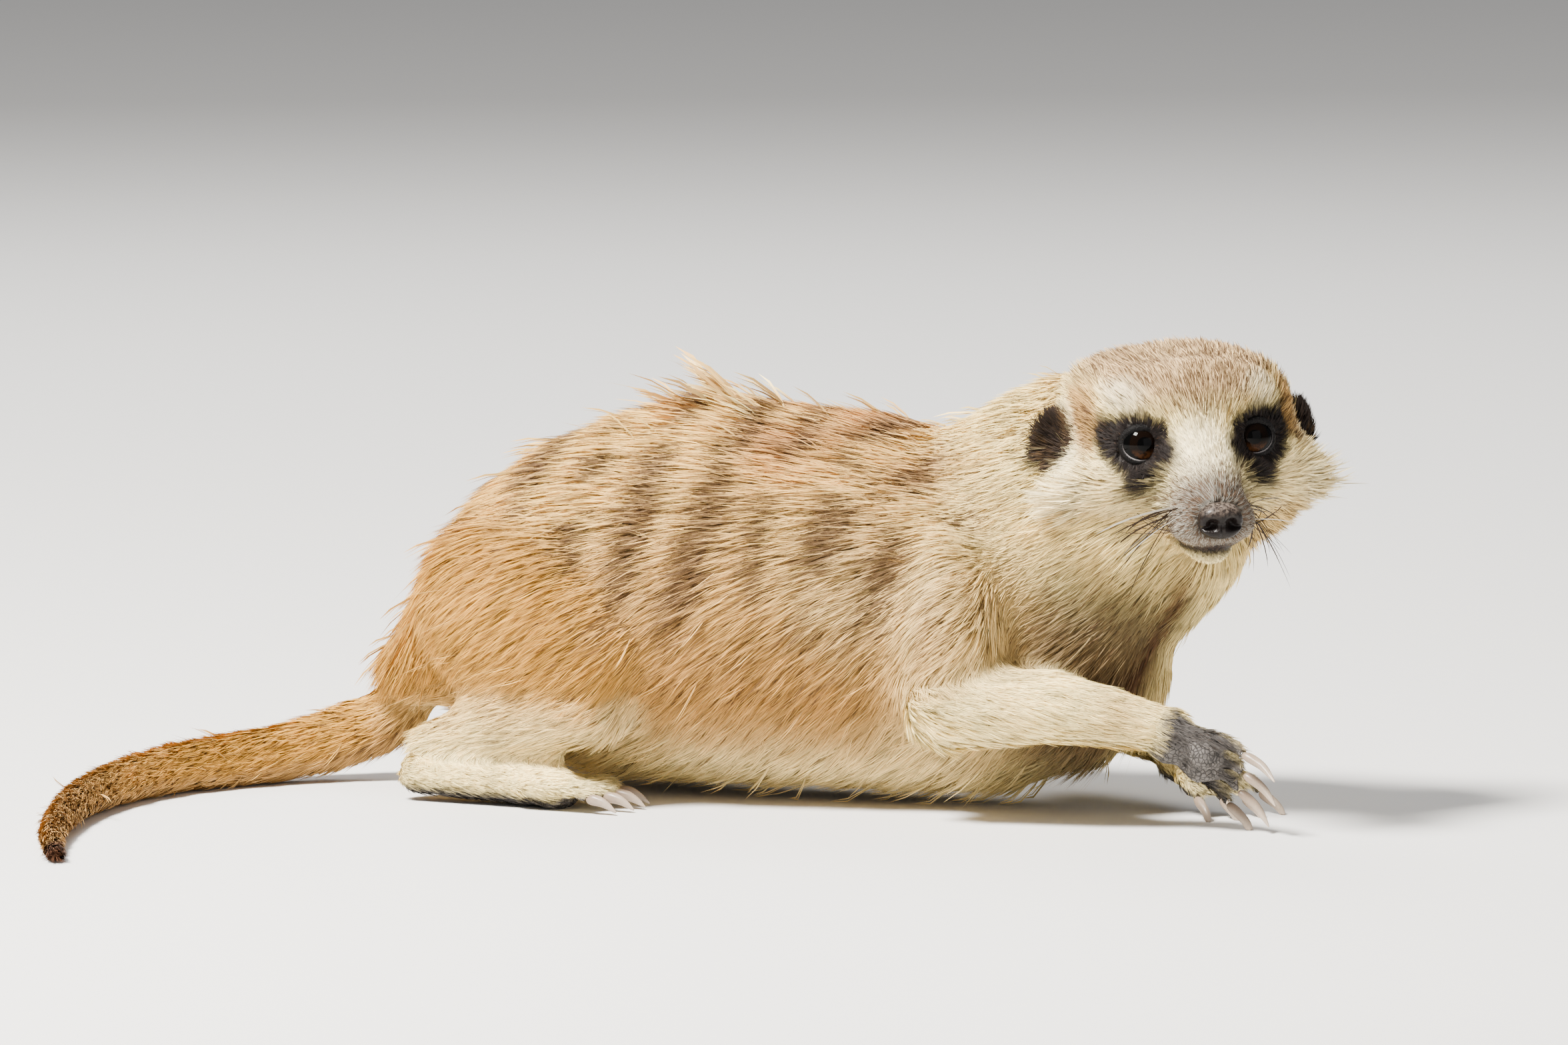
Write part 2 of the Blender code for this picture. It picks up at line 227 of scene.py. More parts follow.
def dress(obj, finish):
    """Gives the object smooth shading and one material."""
    obj.data.shade_smooth()
    obj.data.materials.clear()
    obj.data.materials.append(finish)


def settle(obj, slot, *replaced):
    """Rides the piece on the body and hides the solids that it stands for; slot is not used."""
    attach(obj, "root")
    if replaced:
        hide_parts(*replaced)


def evaluated_mesh(obj):
    graph = bpy.context.evaluated_depsgraph_get()
    graph.update()
    return bpy.data.meshes.new_from_object(obj.evaluated_get(graph))


def modified(obj, kind, **settings):
    """The object's mesh replaced by itself with one modifier applied."""
    modifier = obj.modifiers.new(kind.lower(), kind)
    for key, value in settings.items():
        setattr(modifier, key, value)
    mesh = evaluated_mesh(obj)
    obj.modifiers.remove(modifier)
    old, obj.data = obj.data, mesh
    bpy.data.meshes.remove(old)
    return mesh


def head_frame():
    """The head's origin in metres and its forward, left and up axes, from its eyes and nose."""
    right, left, nose = (centre_of(name) for name in ("eye_right", "eye_left", "nose"))
    across = unit(left - right)
    muzzle = nose - (right + left) / 2
    muzzle = unit(muzzle - across * (muzzle @ across))
    above = np.cross(muzzle, across)
    forward = muzzle * math.cos(MUZZLE_FALL) + above * math.sin(MUZZLE_FALL)
    up = above * math.cos(MUZZLE_FALL) - muzzle * math.sin(MUZZLE_FALL)
    return (right + left) / 2 + EYE_SET_BACK * CM * forward, np.array([forward, across, up])


HEAD_AT, HEAD_AXES = head_frame()


def in_head(places):
    return (places - HEAD_AT) @ HEAD_AXES.T / CM


def from_head(cm):
    return HEAD_AT + np.asarray(cm, float) * CM @ HEAD_AXES


def eye_centre(sign):
    return from_head((-EYE_SET_BACK, sign * EYE_ASIDE, 0))


def mirrored(head):
    """Head coordinates with the right side folded over to the left."""
    return head * [1, 0, 1] + np.abs(head) * [0, 1, 0]


def side_of(places):
    """-1 at places on the head's right side and 1 on its left, as a column."""
    return np.where(in_head(places)[:, 1] < 0, -1.0, 1.0)[:, None]


# ---------------- the skin's shape
DEPTH, LENGTH, WIDTH, RISE, THICKNESS = range(5)
# For each part of the body: how deep its coat is, how long its hair and how wide a blade (mm), how far
# a hair rises for its length, and how thickly the blades stand compared with the back.
COAT = {
    "trunk": (4.5, 11.5, 0.22, 0.30, 1.15),
    "neck": (4.2, 9.5, 0.21, 0.32, 1.35),
    "head": (3.3, 8.5, 0.21, 0.34, 1.5),
    "ear": (0.2, 3.0, 0.17, 0.60, 3.6),
    "upper_arm": (3.0, 9.0, 0.21, 0.28, 1.25),
    "forearm": (2.0, 6.0, 0.20, 0.24, 1.7),
    "paw_fore": (0.9, 3.0, 0.16, 0.26, 2.6),
    "thigh": (4.0, 10.5, 0.24, 0.30, 1.1),
    "shank": (2.2, 7.5, 0.20, 0.28, 1.4),
    "paw_hind": (0.9, 3.2, 0.17, 0.26, 2.4),
    "tail": (2.6, 7.5, 0.25, 0.30, 1.3),
}
# Zones of the head with a coat of their own: centre and radii in head centimetres, mirrored, then as above.
FACE_COAT = (
    ((-1.6, 0.0, 1.6), (1.6, 2.0, 1.0), (2.0, 6.0, 0.30, 0.30, 1.6)),      # crown
    ((-0.5, 0.0, 1.1), (1.1, 2.1, 0.9), (1.6, 4.2, 0.26, 0.30, 2.2)),      # forehead and brows
    ((-0.5, 2.2, -1.1), (1.1, 1.1, 1.2), (3.0, 7.0, 0.26, 0.32, 1.6)),     # cheeks
    ((-0.9, 2.9, -0.6), (0.9, 0.6, 1.35), (2.8, 15.0, 0.24, 0.64, 1.8)),    # the cheeks' fringe
    ((-1.6, 2.6, -0.3), (1.1, 0.8, 1.0), (2.4, 2.8, 0.22, 0.30, 2.1)),     # round the ears
    ((0.9, 0.0, -0.1), (1.2, 0.9, 0.8), (1.0, 2.4, 0.20, 0.26, 3.2)),      # bridge
    ((-0.1, 1.2, 0.0), (0.9, 0.95, 0.85), (0.9, 1.9, 0.18, 0.26, 3.4)),    # round the eyes
    ((1.6, 0.0, -1.2), (1.3, 1.25, 0.85), (0.8, 2.1, 0.18, 0.26, 3.4)),    # muzzle
    ((1.1, 0.0, -2.0), (1.2, 1.0, 0.5), (1.2, 3.0, 0.22, 0.30, 2.4)),      # chin
)


# Lie of the coat on the throat, past a crease which is painted dark brown as shade; the crease's plane is in
# body centimetres.
THROAT_COAT = (2.2, 7.0, 0.28, 0.22, 1.4)
THROAT_CREASE = np.array([0.911, 0.280, -0.301, 8.345])


def past_crease(places):
    """How far past the throat's crease a place is, in centimetres."""
    return places / CM @ THROAT_CREASE[:3] - THROAT_CREASE[3]


def part_of(node):
    return next(name for name in COAT if node.startswith(name))


def flesh_mesh(voxel):
    """The solids of flesh as one closed mesh of even faces."""
    obj = merged("skin", FLESH)
    modified(obj, "REMESH", mode="VOXEL", voxel_size=voxel)
    return obj


def part_shares(places, edges):
    """For each part of the body, how far each vertex belongs to it, from 0 to 1."""
    nearest, owner, names = np.full(len(places), 1.0), np.zeros(len(places), int), list(COAT)
    for node in FLESH:
        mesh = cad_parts[node].data
        tree = BVHTree.FromPolygons([v.co for v in mesh.vertices], [p.vertices for p in mesh.polygons])
        near = np.flatnonzero(in_box(places, node, 5 * MM))
        away = np.array([tree.find_nearest(places[i])[3] for i in near])
        closer = away < nearest[near]
        nearest[near[closer]] = away[closer]
        owner[near[closer]] = names.index(part_of(node))
    table = spread(np.eye(len(names))[owner], edges, 8)
    return dict(zip(names, (table / table.sum(axis=1, keepdims=True)).T))


def coat_table(places, shares):
    """Depth, length, width, rise and thickness of the coat at each vertex, blended between the parts."""
    table = sum(shares[name][:, None] * np.array(COAT[name]) for name in COAT)
    throat = step(-0.1, 0.6, past_crease(places)) * step(6.2, 5.2, places[:, 2] / CM)
    table = blend(table, THROAT_COAT, throat * shares["neck"])
    for centre, radii, values in FACE_COAT:
        table = blend(table, values, within(mirrored(in_head(places)), centre, radii) * shares["head"])
    return table


def paw_coordinates(places, limb, side):
    """Centimetres along a paw to its toes, across it and to its back, from the root of its toes."""
    claws = [np.mean([v.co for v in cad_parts[f"claw_{limb}_{side}_{k}"].data.vertices], axis=0)
             for k in TOES]
    across = unit(claws[3] - claws[0])
    ahead = claws[1] + claws[2] - claws[0] - claws[3]
    ahead = unit(ahead - (ahead @ across) * across)
    axes = np.array([ahead, across, np.cross(ahead, across)])
    middle = (claws[1] + claws[2]) / 2 - axes.T @ np.array([1.25, 0, -0.2]) * CM
    return (places - middle) @ axes.T / CM, axes


def paws(places):
    """For each paw its limb, the places in its own coordinates and its axes."""
    for limb, side in PAWS:
        yield (limb, *paw_coordinates(places, limb, side))


def toe_pitch(ahead):
    """How far apart the middles of the toes are, in centimetres, at a place along a paw."""
    return 0.45 + 0.09 * np.clip(ahead, 0, 1)


def fine_parts(places):
    """Which vertices are of the front of the head or of a paw's toes and pads."""
    head = in_head(places)
    chosen = (head[:, 0] > -1.0) & (np.abs(head[:, 1]) < 2.6) & (np.abs(head[:, 2] + 0.2) < 2.4)
    for _, paw, _ in paws(places):
        chosen |= (np.abs(paw - (-0.15, 0, 0)) < (1.35, 1.2, 0.75)).all(axis=1)
    return chosen


def refine(mesh):
    """The front of the head and the paws get faces of half the size."""
    shape = shape_of(mesh)
    fine = fine_parts(places_in(mesh))
    edges = [e for e in shape.edges if fine[e.verts[0].index] and fine[e.verts[1].index]]
    bmesh.ops.subdivide_edges(shape, edges=edges, cuts=1, use_grid_fill=True)
    bmesh.ops.triangulate(shape, faces=[f for f in shape.faces if len(f.verts) > 4])
    poured(shape, mesh)


def smoothed(places, edges, shares):
    """Flat facets and seams worked out: most on the broad parts, without thinning the slender ones."""
    broad = shares["trunk"] + shares["neck"] + shares["thigh"] + 0.5 * (shares["head"] + shares["upper_arm"])
    places = spread(places, edges, 45, 0.5 * np.clip(broad, 0, 1))
    for _ in range(14):
        places = spread(places, edges, 1, 0.5)
        places = spread(places, edges, 1, -0.52)
    return places


EYE_OPENS = (0.95, 0.16, 0.25)     # the way that the left eye's opening faces, in head coordinates
MOUTH_UP, MOUTH_DROOP = -1.68, 0.50           # the mouth's line at its middle, and its fall to the sides


def mouth_line(aside):
    return MOUTH_UP - MOUTH_DROOP * aside ** 2


# How the face bulges, in head centimetres: centre, radii, push to the left side and how much of it the
# left side has. The right side has all of it, mirrored.
BULGES = (
    ((-1.9, 2.0, 1.05), (1.7, 0.95, 0.9), (0, 0.13, 0.22), 0.35),      # the crown's hind corners
    ((-0.7, 0.0, 1.5), (1.5, 1.1, 0.7), (0, 0, -0.08), 1.0),           # forehead
    ((1.1, 1.0, -1.55), (0.9, 0.6, 0.55), (0, 0.05, -0.05), 1.0),      # jowls
    ((1.6, 0.0, -2.1), (1.0, 0.8, 0.45), (0, 0, -0.06), 1.0),          # chin
)
LEFT_BULGES = (
    ((-1.35, 2.45, -0.85), (1.1, 0.7, 0.9), 0.6, (0.0, 0.23, 0.08)),     # the cheek, pushed out by the neck
    ((-1.95, 2.8, -0.3), (1.0, 0.5, 1.2), 0.35, (-0.05, -0.34, -0.05)),  # the ear, which lies close
)


def faced(places):
    """The face's folds: sockets round the eyeballs, the mouth's line and the groove under the nose."""
    side = side_of(places)
    face = mirrored(in_head(places))
    from_eye = face - (-EYE_SET_BACK, EYE_ASIDE, 0.0)
    away = np.linalg.norm(from_eye, axis=1)
    lean = np.degrees(np.arccos(np.clip(unit(from_eye) @ unit(EYE_OPENS), -1, 1)))
    rim = EYE_RADIUS * blend(0.84, 1.08, step(46, 70, lean))
    near = (1 - step(0.60, 0.95, away)) * step(-0.35, 0.1, from_eye @ unit(EYE_OPENS))
    out = face + unit(from_eye) * ((rim - away) * near)[:, None]
    aside, up = out[:, 1], out[:, 2]
    lips = ridge(up - mouth_line(aside), 0.08) * step(0.3, 0.9, face[:, 0]) * step(1.5, 1.1, aside)
    split = ridge(aside, 0.06) * step(1.7, 2.1, face[:, 0]) * step(-1.05, -1.25, up)
    out[:, 0] -= 0.12 * lips + 0.05 * split
    out[:, 1] -= 0.05 * lips
    mirror = np.where((True, False, True), 1.0, side)
    out = out * mirror
    for centre, radii, push, on_left in BULGES:
        share = within(face, centre, radii, 0.6)[:, None] * np.where(side < 0, 1.0, on_left)
        out += share * push * mirror
    for centre, radii, soft, push in LEFT_BULGES:
        out += within(out, centre, radii, soft)[:, None] * push
    return from_head(out)


# A paw's bare pads in its own coordinates: place, radii and how far each swells, in centimetres.
PADS = (((-0.95, 0.10, -0.4), (0.46, 0.42, 0.4), 0.05), ((-0.15, 0.32, -0.35), (0.36, 0.26, 0.4), 0.06),
        ((-0.15, -0.32, -0.35), (0.36, 0.26, 0.4), 0.06), ((-0.05, 0.0, -0.35), (0.34, 0.22, 0.4), 0.05),
        *[((0.66, k * 0.53, -0.25), (0.22, 0.19, 0.3), 0.04) for k in (-1.45, -0.5, 0.5, 1.45)])


def pad_share(paw):
    """How far each place is on a bare pad."""
    below = step(0.12, -0.08, paw[:, 2])
    return below * np.max([within(paw, centre, radii, 0.25) for centre, radii, _ in PADS], axis=0)


def toed(places, shares):
    """The paws' folds: grooves between the toes, and pads that stand out under them."""
    out = places.copy()
    for limb, paw, axes in paws(places):
        ahead, across, back = paw.T
        here = shares["paw_" + limb] * step(0.9, 0.6, np.abs(back)) * step(1.5, 1.3, np.abs(across))
        grooves = sum(ridge(across - k * toe_pitch(ahead), 0.085) for k in (-1, 0, 1))
        grooves = grooves * step(-0.15, 0.25, ahead) * step(2.2, 1.8, ahead)
        inward = -np.sign(back - 0.02) * np.minimum(np.abs(back - 0.02), 0.17) * grooves
        swell = sum(high * within(paw, centre, radii, 0.4) for centre, radii, high in PADS)
        out += (here * (inward - swell * step(0.05, -0.1, back)))[:, None] * CM * axes[2]
    return out


def joint(first, second):
    """The middle of the room that two neighbouring solids' boxes share."""
    (low_a, high_a), (low_b, high_b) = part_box(first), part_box(second)
    return (np.maximum(low_a, low_b) + np.minimum(high_a, high_b)) / 2


def tail_course():
    """Points along the tail from its root to its tip."""
    tip = np.array([v.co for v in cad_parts["tail_tip"].data.vertices])
    start = joint("tail_lower", "tail_tip")
    end = tip[np.linalg.norm(tip - start, axis=1).argmax()]
    marks = np.array([joint("trunk", "tail_root"), joint("tail_root", "tail_upper"),
                      joint("tail_upper", "tail_lower"), start, end])
    marks = np.vstack([2 * marks[0] - marks[1], marks, 2 * marks[-1] - marks[-2]])
    course = []
    for k in range(1, len(marks) - 2):
        a, b, c, d = marks[k - 1:k + 3]
        for t in np.linspace(0, 1, 12, endpoint=False):
            course.append(0.5 * (2 * b + (c - a) * t + (2 * a - 5 * b + 4 * c - d) * t ** 2
                                 + (3 * b - a - 3 * c + d) * t ** 3))
    return np.array(course + [marks[-2]])


def along_tail(places):
    """For each place, how far down the tail it is, from 0 to 1, and the tail's direction there."""
    course = tail_course()
    nearest = np.linalg.norm(places[:, None] - course, axis=2).argmin(axis=1)
    ways = unit(np.gradient(course, axis=0))
    return nearest / (len(course) - 1), ways[nearest]


def hair_lie(places, normals, edges, shares):
    """The way that the hair lies at each vertex, as a unit vector along the skin."""
    falling = step(7.6, 1.5, places[:, 2] / CM)
    ways = {
        "trunk": np.outer(falling, (0, 0, -0.95)) + (-1, 0, -0.06),
        "neck": 0.6 * unit(places - HEAD_AT) + np.array([-0.8, 0.1, -0.35]),
        "head": places - from_head((2.5, 0, -0.85)),
        "ear": HEAD_AXES[2] - 0.2 * HEAD_AXES[0],
        "upper_arm": (-0.8, 0, -0.6), "thigh": (-0.85, 0, -0.55), "shank": (-1, 0, -0.2),
        "paw_hind": (1, 0, -0.15), "tail": along_tail(places)[1],
    }
    total = sum(shares[name][:, None] * unit(way) for name, way in ways.items())
    for side, sign in SIDES:
        paw = centre_of("paw_fore_" + side)
        claws = np.mean([centre_of(f"claw_fore_{side}_{k}") for k in TOES], axis=0)
        here = step(-2 * MM, 2 * MM, sign * (places[:, 1] - 52 * MM))[:, None]
        for part, way in (("forearm", paw - centre_of("forearm_" + side)), ("paw_fore", claws - paw)):
            total = total + here * shares[part][:, None] * unit(way)
    total = unit(spread(unit(total), edges, 14))
    fringe = 0.65 * within(mirrored(in_head(places)), (-0.9, 2.9, -0.6), (1.0, 0.7, 1.4)) * shares["head"]
    total = blend(total, unit(side_of(places) * HEAD_AXES[1] - 0.35 * HEAD_AXES[0]), fringe)
    for _, sign in SIDES:                      # round an eye the hair lies away from it
        from_eye = places - eye_centre(sign)
        total = blend(total, unit(from_eye), step(0.85, 0.55, np.linalg.norm(from_eye, axis=1) / CM))
    return unit(total - normals * (total * normals).sum(axis=1, keepdims=True))


def whisker_lie(places):
    """The way that whiskers point: outwards, back and down."""
    return unit(side_of(places) * HEAD_AXES[1] * 0.80 - HEAD_AXES[0] * 0.40 - HEAD_AXES[2] * 0.28)


# ---------------- the coat's colours
# The fold between jaw and neck on the right side, in cm, along which painted shade is laid.
JAW_CREASE_SHADE = ((7.4, 1.5, 6.3), (8.5, 1.2, 5.6), (9.0, 1.4, 5.15), (9.3, 1.6, 4.4))


def band_share(places):
    """Broken stripes across the back and down the upper flanks, their lower ends further back."""
    x, y, z = (places / CM).T
    wobble = 2.2 * noise(places, 14 * MM, 1) + 1.3 * noise(places, 6 * MM, 2)
    phase = (x + 0.29 * (8.3 - z)) / 1.38 + wobble / (2 * math.pi)
    stripes = step(0.42, 0.72, 0.5 + 0.5 * np.cos(2 * math.pi * phase))
    reach = step(3.0, 5.4, z) * step(-8.8, -7.0, x) * step(7.0, 5.2, x)
    return stripes * patches(places, 0.29, 0.46, (9, 6, 6), 3) * reach


class Paint:
    """The coat's tint and its share of dark hairs at each vertex, laid on in layers."""

    def __init__(self, colours, first, dark):
        self.colours = {name: np.array(getattr(colours, name)) for name in colours.__annotations__}
        self.tint, self.dark = self.colours[first], dark

    def lay(self, shade, share, ticking=None):
        """Blends in a colour, or one by name, and where ticking is given that share of dark hairs."""
        shade = self.colours[shade] if isinstance(shade, str) else shade
        self.tint = blend(self.tint, shade, share)
        if ticking is not None:
            self.dark = blend(self.dark, ticking, share)


# Colour of each part over the trunk's: the part, shade, amount and share of dark hairs.
PART_TINTS = (
    ("neck", "cream", 0.9, 0.10), ("upper_arm", "cream", 0.45, 0.14), ("forearm", "pale_yellow", 0.95, 0.02),
    ("paw_fore", "pale_yellow", 0.9, 0.05), ("thigh", "golden", 0.95, 0.12),
    ("shank", "pale_yellow", 0.6, 0.07), ("paw_hind", "pale_yellow", 0.95, 0.03),
    ("tail", "golden", 0.9, 0.12),
)


def patches(places, low, high, size, seed):
    """Patches of noise with soft edges; size is in millimetres."""
    return step(low, high, noise(places, np.multiply(size, MM), seed))


def body_tint(paint, places, normals, edges, shares):
    """The coat's own colour and its share of dark hairs over the body, limbs and tail."""
    body = places / CM
    x, y, z = body.T
    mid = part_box("trunk")[0][1] / CM * 0.5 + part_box("trunk")[1][1] / CM * 0.5
    wide = np.stack([x, np.abs(y - mid), z], axis=1)
    ragged = 0.5 * (noise(places, 7 * MM, 4) - 0.5)
    bands = band_share(places)
    rust = within(body, (2.6, mid, 8.0), (4.2, 3.0, 2.2)) * patches(places, 0.40, 0.62, 8, 5)
    streaks = within(wide, (4.9, 3.0, 5.8), (1.8, 2.4, 2.6)) * patches(places, 0.42, 0.62, (6, 3, 3), 31)
    paint.lay("straw", step(6.4, 3.4, z))
    paint.lay("golden", 0.9 * step(-3.0, -6.4, x + 2 * ragged))
    paint.lay("pale_yellow", 0.7 * step(2.6, 0.8, z))
    paint.lay("cream", 0.5 * within(wide, (4.7, 3.2, 5.4), (2.2, 1.8, 2.0)))
    paint.lay("rust", 0.75 * rust)
    paint.lay("band", 0.75 * bands)
    paint.dark = paint.dark + 0.12 * within(wide, (0.5, 4.2, 4.6), (5.5, 2.2, 2.6)) + 0.70 * bands
    for name, shade, amount, ticking in PART_TINTS:
        share = np.clip(shares[name] * (1 + 2 * ragged) + ragged * (shares[name] > 0.05), 0, 1)
        paint.lay(shade, amount * share)
        paint.dark = blend(paint.dark, ticking, share)
    paint.lay("rust", 0.40 * streaks)
    paint.dark = np.maximum(paint.dark, 0.32 * streaks)
    past = past_crease(places) - 0.2 + 0.5 * step(4.6, 2.8, z)      # its lower end bends to the right side
    paint.lay("cream", 0.85 * step(0, 0.4, past) * within(body, (9.2, mid + 0.5, 3.0), (2.2, 3.0, 2.6)))
    # painted shade: the chest, short of the throat's crease, is darkened to olive
    chest = within(body, (8.4, mid - 0.8, 3.0), (2.6, 3.4, 2.8))
    chest = chest * (1 - shares["forearm"]) * (1 - shares["paw_fore"]) * step(0.6, 0.0, past)
    paint.lay("olive", 0.85 * chest)
    paint.tint = spread(paint.tint, edges, 40)
    # painted shade: olive laid along the fold between jaw and neck
    for start, end in zip(JAW_CREASE_SHADE, JAW_CREASE_SHADE[1:]):
        start, way = np.array(start), np.array(end) - start
        along = np.clip((body - start) @ way / (way @ way), 0, 1)
        away = np.linalg.norm(body - start - along[:, None] * way, axis=1)
        paint.lay("olive", 0.42 * ridge(away, 0.34))
    # painted shade: a dark brown line along the throat's crease, where it faces forward
    crease = ridge(past, 0.17) * (shares["neck"] + shares["trunk"]) * step(5.9, 4.9, z)
    paint.lay("brown", 0.9 * (crease * step(1.4, 2.4, z) * step(-0.1, 0.2, normals[:, 0])))
    down, _ = along_tail(places)
    under = step(0.2, -0.5, normals[:, 2])
    colour = paint.colours
    tail = blend(colour["golden"], colour["tan"], np.clip(under + step(0.3, 0.7, down), 0, 1))
    paint.lay(blend(tail, colour["brown"], step(0.84, 0.93, down)), shares["tail"])
    for limb, paw, _ in paws(places):
        here = shares["paw_" + limb] * (np.abs(paw[:, 2]) < 0.9) * (np.abs(paw[:, 1]) < 1.5)
        most, sole = (0.55, 0.0) if limb == "fore" else (0.3, -0.2)
        toes = step(-0.1, 0.45, paw[:, 0]) * most
        under = step(sole + 0.15, sole - 0.12, paw[:, 2] + 0.12 * (noise(places, 3 * MM, 21) - 0.5))
        pads = pad_share(paw)
        # the toes are darkened towards half the pad's colour as painted shade; the soles as their own dark
        # bare skin
        paint.lay(0.5 * colour["pad"], here * np.maximum(toes, under))
        paint.lay("pad", here * pads)
        paint.dark = blend(paint.dark, 0.0, here * np.maximum(under, pads))


# Marks of the face, laid in order: shade, amount, share of dark hairs, centre, radii and softness.
UPPER_MARKS = (
    ("white", 0.75, 0.06, (0.9, 0, -0.05), (1.2, 0.62, 0.62), 0.5),        # bridge
    ("white", 0.65, 0.03, (-0.30, 1.38, 0.87), (0.8, 0.40, 0.27), 0.6),    # brow
    ("tan", 0.95, 0.3, (-0.9, 2.10, 0.40), (0.9, 0.34, 0.85), 0.35),       # temple
    ("white", 0.8, 0.0, (-1.2, 2.55, 0.3), (0.8, 0.35, 0.9), 0.35),        # before the ear
    ("white", 0.25, 0.1, (0.2, 1.7, -0.9), (1.2, 0.8, 0.7), 0.35),         # under the eye
    ("white", 0.55, 0.0, (-1.1, 2.8, -1.1), (1.1, 0.8, 1.2), 0.35),        # the cheek's fringe
    ("grey", 0.95, 0.62, (1.7, 0, -1.1), (1.3, 1.35, 0.9), 0.5),           # muzzle
)
LOWER_MARKS = (
    ("pale_yellow", 0.7, 0.03, (1.3, 0, -2.1), (1.3, 1.0, 0.42), 0.35),    # chin
    ("brown", 0.65, 0.6, (1.25, 0.95, -1.75), (0.6, 0.5, 0.3), 0.35),      # under the mouth's corner
)


def face_tint(paint, places, shares):
    """The head's markings over the body's colours."""
    here = shares["head"]
    forward, aside, up = mirrored(in_head(places)).T
    lifted = up + 0.05 * (noise(places, 1.6 * MM, 7) - 0.5)
    face = np.stack([forward, aside, lifted], axis=1)
    flat = face * (0, 1, 1)
    nape = 0.75 * within(face, (-3.0, 0, 0.9), (2.6, 1.9, 1.5), 0.6)
    front = step(-1.3, -0.8, forward) * here

    def marks(table):
        for shade, amount, ticking, centre, radii, soft in table:
            paint.lay(shade, amount * within(face, centre, radii, soft) * here, ticking)

    paint.lay("cream", here, 0.11)
    paint.lay("straw", 0.5 * step(-1.0, -1.8, up) * here, 0.16)
    # the lower cheek's tan is partly its own colour and partly painted shade
    marks([("tan", 0.28, 0.25, (0.3, 1.9, -1.2), (1.4, 0.9, 0.8), 0.35)])
    paint.lay("crown", step(0.35, 0.95, up - 0.12 * aside) * step(2.2, 1.5, aside) * here, 0.52)
    marks([("crown", 1, 0.46, (-2.2, 0, 0.9), (1.4, 1.9, 1.2), 0.35)])
    paint.lay("crown", nape * (shares["head"] + shares["neck"]), 0.4)
    marks(UPPER_MARKS)
    snout = within(face, (2.05, 0, -0.85), (0.65, 0.75, 0.6), 0.5)
    paint.lay(0.6 * paint.colours["grey"], 0.8 * snout * here)
    paint.lay("black", front * within(flat, (0, 1.22, 0.03), (1, 0.74, 0.57), 0.2), 0.0)
    paint.lay("black", front * within(flat, (0, 1.12, -0.42), (1, 0.34, 0.48), 0.35), 0.0)
    marks(LOWER_MARKS)
    lips = np.exp(-((up - mouth_line(aside)) / (0.16 + 0.05 * np.minimum(aside, 1.0))) ** 4)
    lips = lips * step(0.3, 0.8, forward) * step(1.45, 1.05, aside)
    paint.lay(0.25 * paint.colours["brown"], lips * here, 0.0)
    marks([("tan", 0.8, 0.1, (-2.05, 2.75, -1.12), (0.35, 0.5, 0.3), 0.35)])
    ear = np.maximum(shares["ear"], within(face, (-1.95, 2.75, -0.28), (0.54, 0.9, 0.58), 0.25))
    fuzz = blend(paint.colours["ear"], paint.colours["tan"], 0.10 * patches(places, 0.68, 0.85, 2, 17))
    paint.lay(fuzz, step(0.05, 0.25, ear))
    paint.dark = blend(paint.dark, 0.0, ear)


def crest_share(places):
    """The tousled spot at the top of the back, where the hair stands up in spikes."""
    return within(places / CM, (-0.6, 5.0, 8.5), (1.5, 1.4, 1.0)) * patches(places, 0.35, 0.6, 4, 11)


def guard_bed(places, shares):
    """Where long single hairs stand out of the coat: a few everywhere, more along the top of the back."""
    furry = shares["trunk"] + shares["neck"] + shares["thigh"] + 0.6 * shares["tail"]
    furry = furry + 0.5 * shares["upper_arm"] + 0.4 * shares["head"] * step(-0.6, -1.6, in_head(places)[:, 0])
    rear = step(-6.0, -8.5, places[:, 0] / CM) * patches(places, 0.5, 0.65, 4, 12)
    return furry * (0.4 + 4.0 * crest_share(places) + 1.2 * rear)


def whisker_bed(places):
    """Where whiskers grow: the muzzle's sides."""
    return within(mirrored(in_head(places)), (1.55, 0.72, -1.12), (0.5, 0.4, 0.28), 0.2)


# The coat's pieces in the order of their numbers, each with its slot.
SLOTS = dict.fromkeys((
    "rump", "back", "withers", "belly", "flank_right", "flank_left", "neck", "throat", "ruff", "face", "ears",
    "foreleg_right", "foreleg_left", "hindleg_right", "hindleg_left", "tail"), "coat_buff")
SLOTS.update(dict.fromkeys(("neck", "throat", "foreleg_right", "foreleg_left"), "coat_pale"),
             ears="coat_dark", tail="coat_tan")


def coat_pieces(places, normals, shares):
    """The number of the coat piece that each vertex belongs to, by its place in SLOTS."""
    part = np.array(list(COAT))[np.argmax([shares[name] for name in COAT], axis=0)]
    right = places[:, 1] < centre_of("trunk")[1]
    x, z = places[:, 0] / CM, places[:, 2] / CM
    low = (part == "trunk") & (z < 4.8) & (x > -4.6)
    fore = np.isin(part, ("upper_arm", "forearm", "paw_fore"))
    hind = np.isin(part, ("thigh", "shank", "paw_hind"))
    rules = {                                  # the first that holds
        "tail": part == "tail", "ears": part == "ear",
        "foreleg_right": fore & right, "foreleg_left": fore,
        "hindleg_right": hind & right, "hindleg_left": hind,
        "face": (part == "head") & (in_head(places)[:, 0] > -1.0), "ruff": part == "head",
        "neck": (part == "neck") & ((normals[:, 2] > 0.1) | (x < 7.0)), "throat": part == "neck",
        "belly": (part == "trunk") & (normals[:, 2] < -0.45), "flank_right": low & right, "flank_left": low,
        "rump": x < -4.6, "back": x < 2.4, "withers": x >= 2.4,
    }
    names = list(SLOTS)
    return np.select(list(rules.values()), [names.index(name) for name in rules])


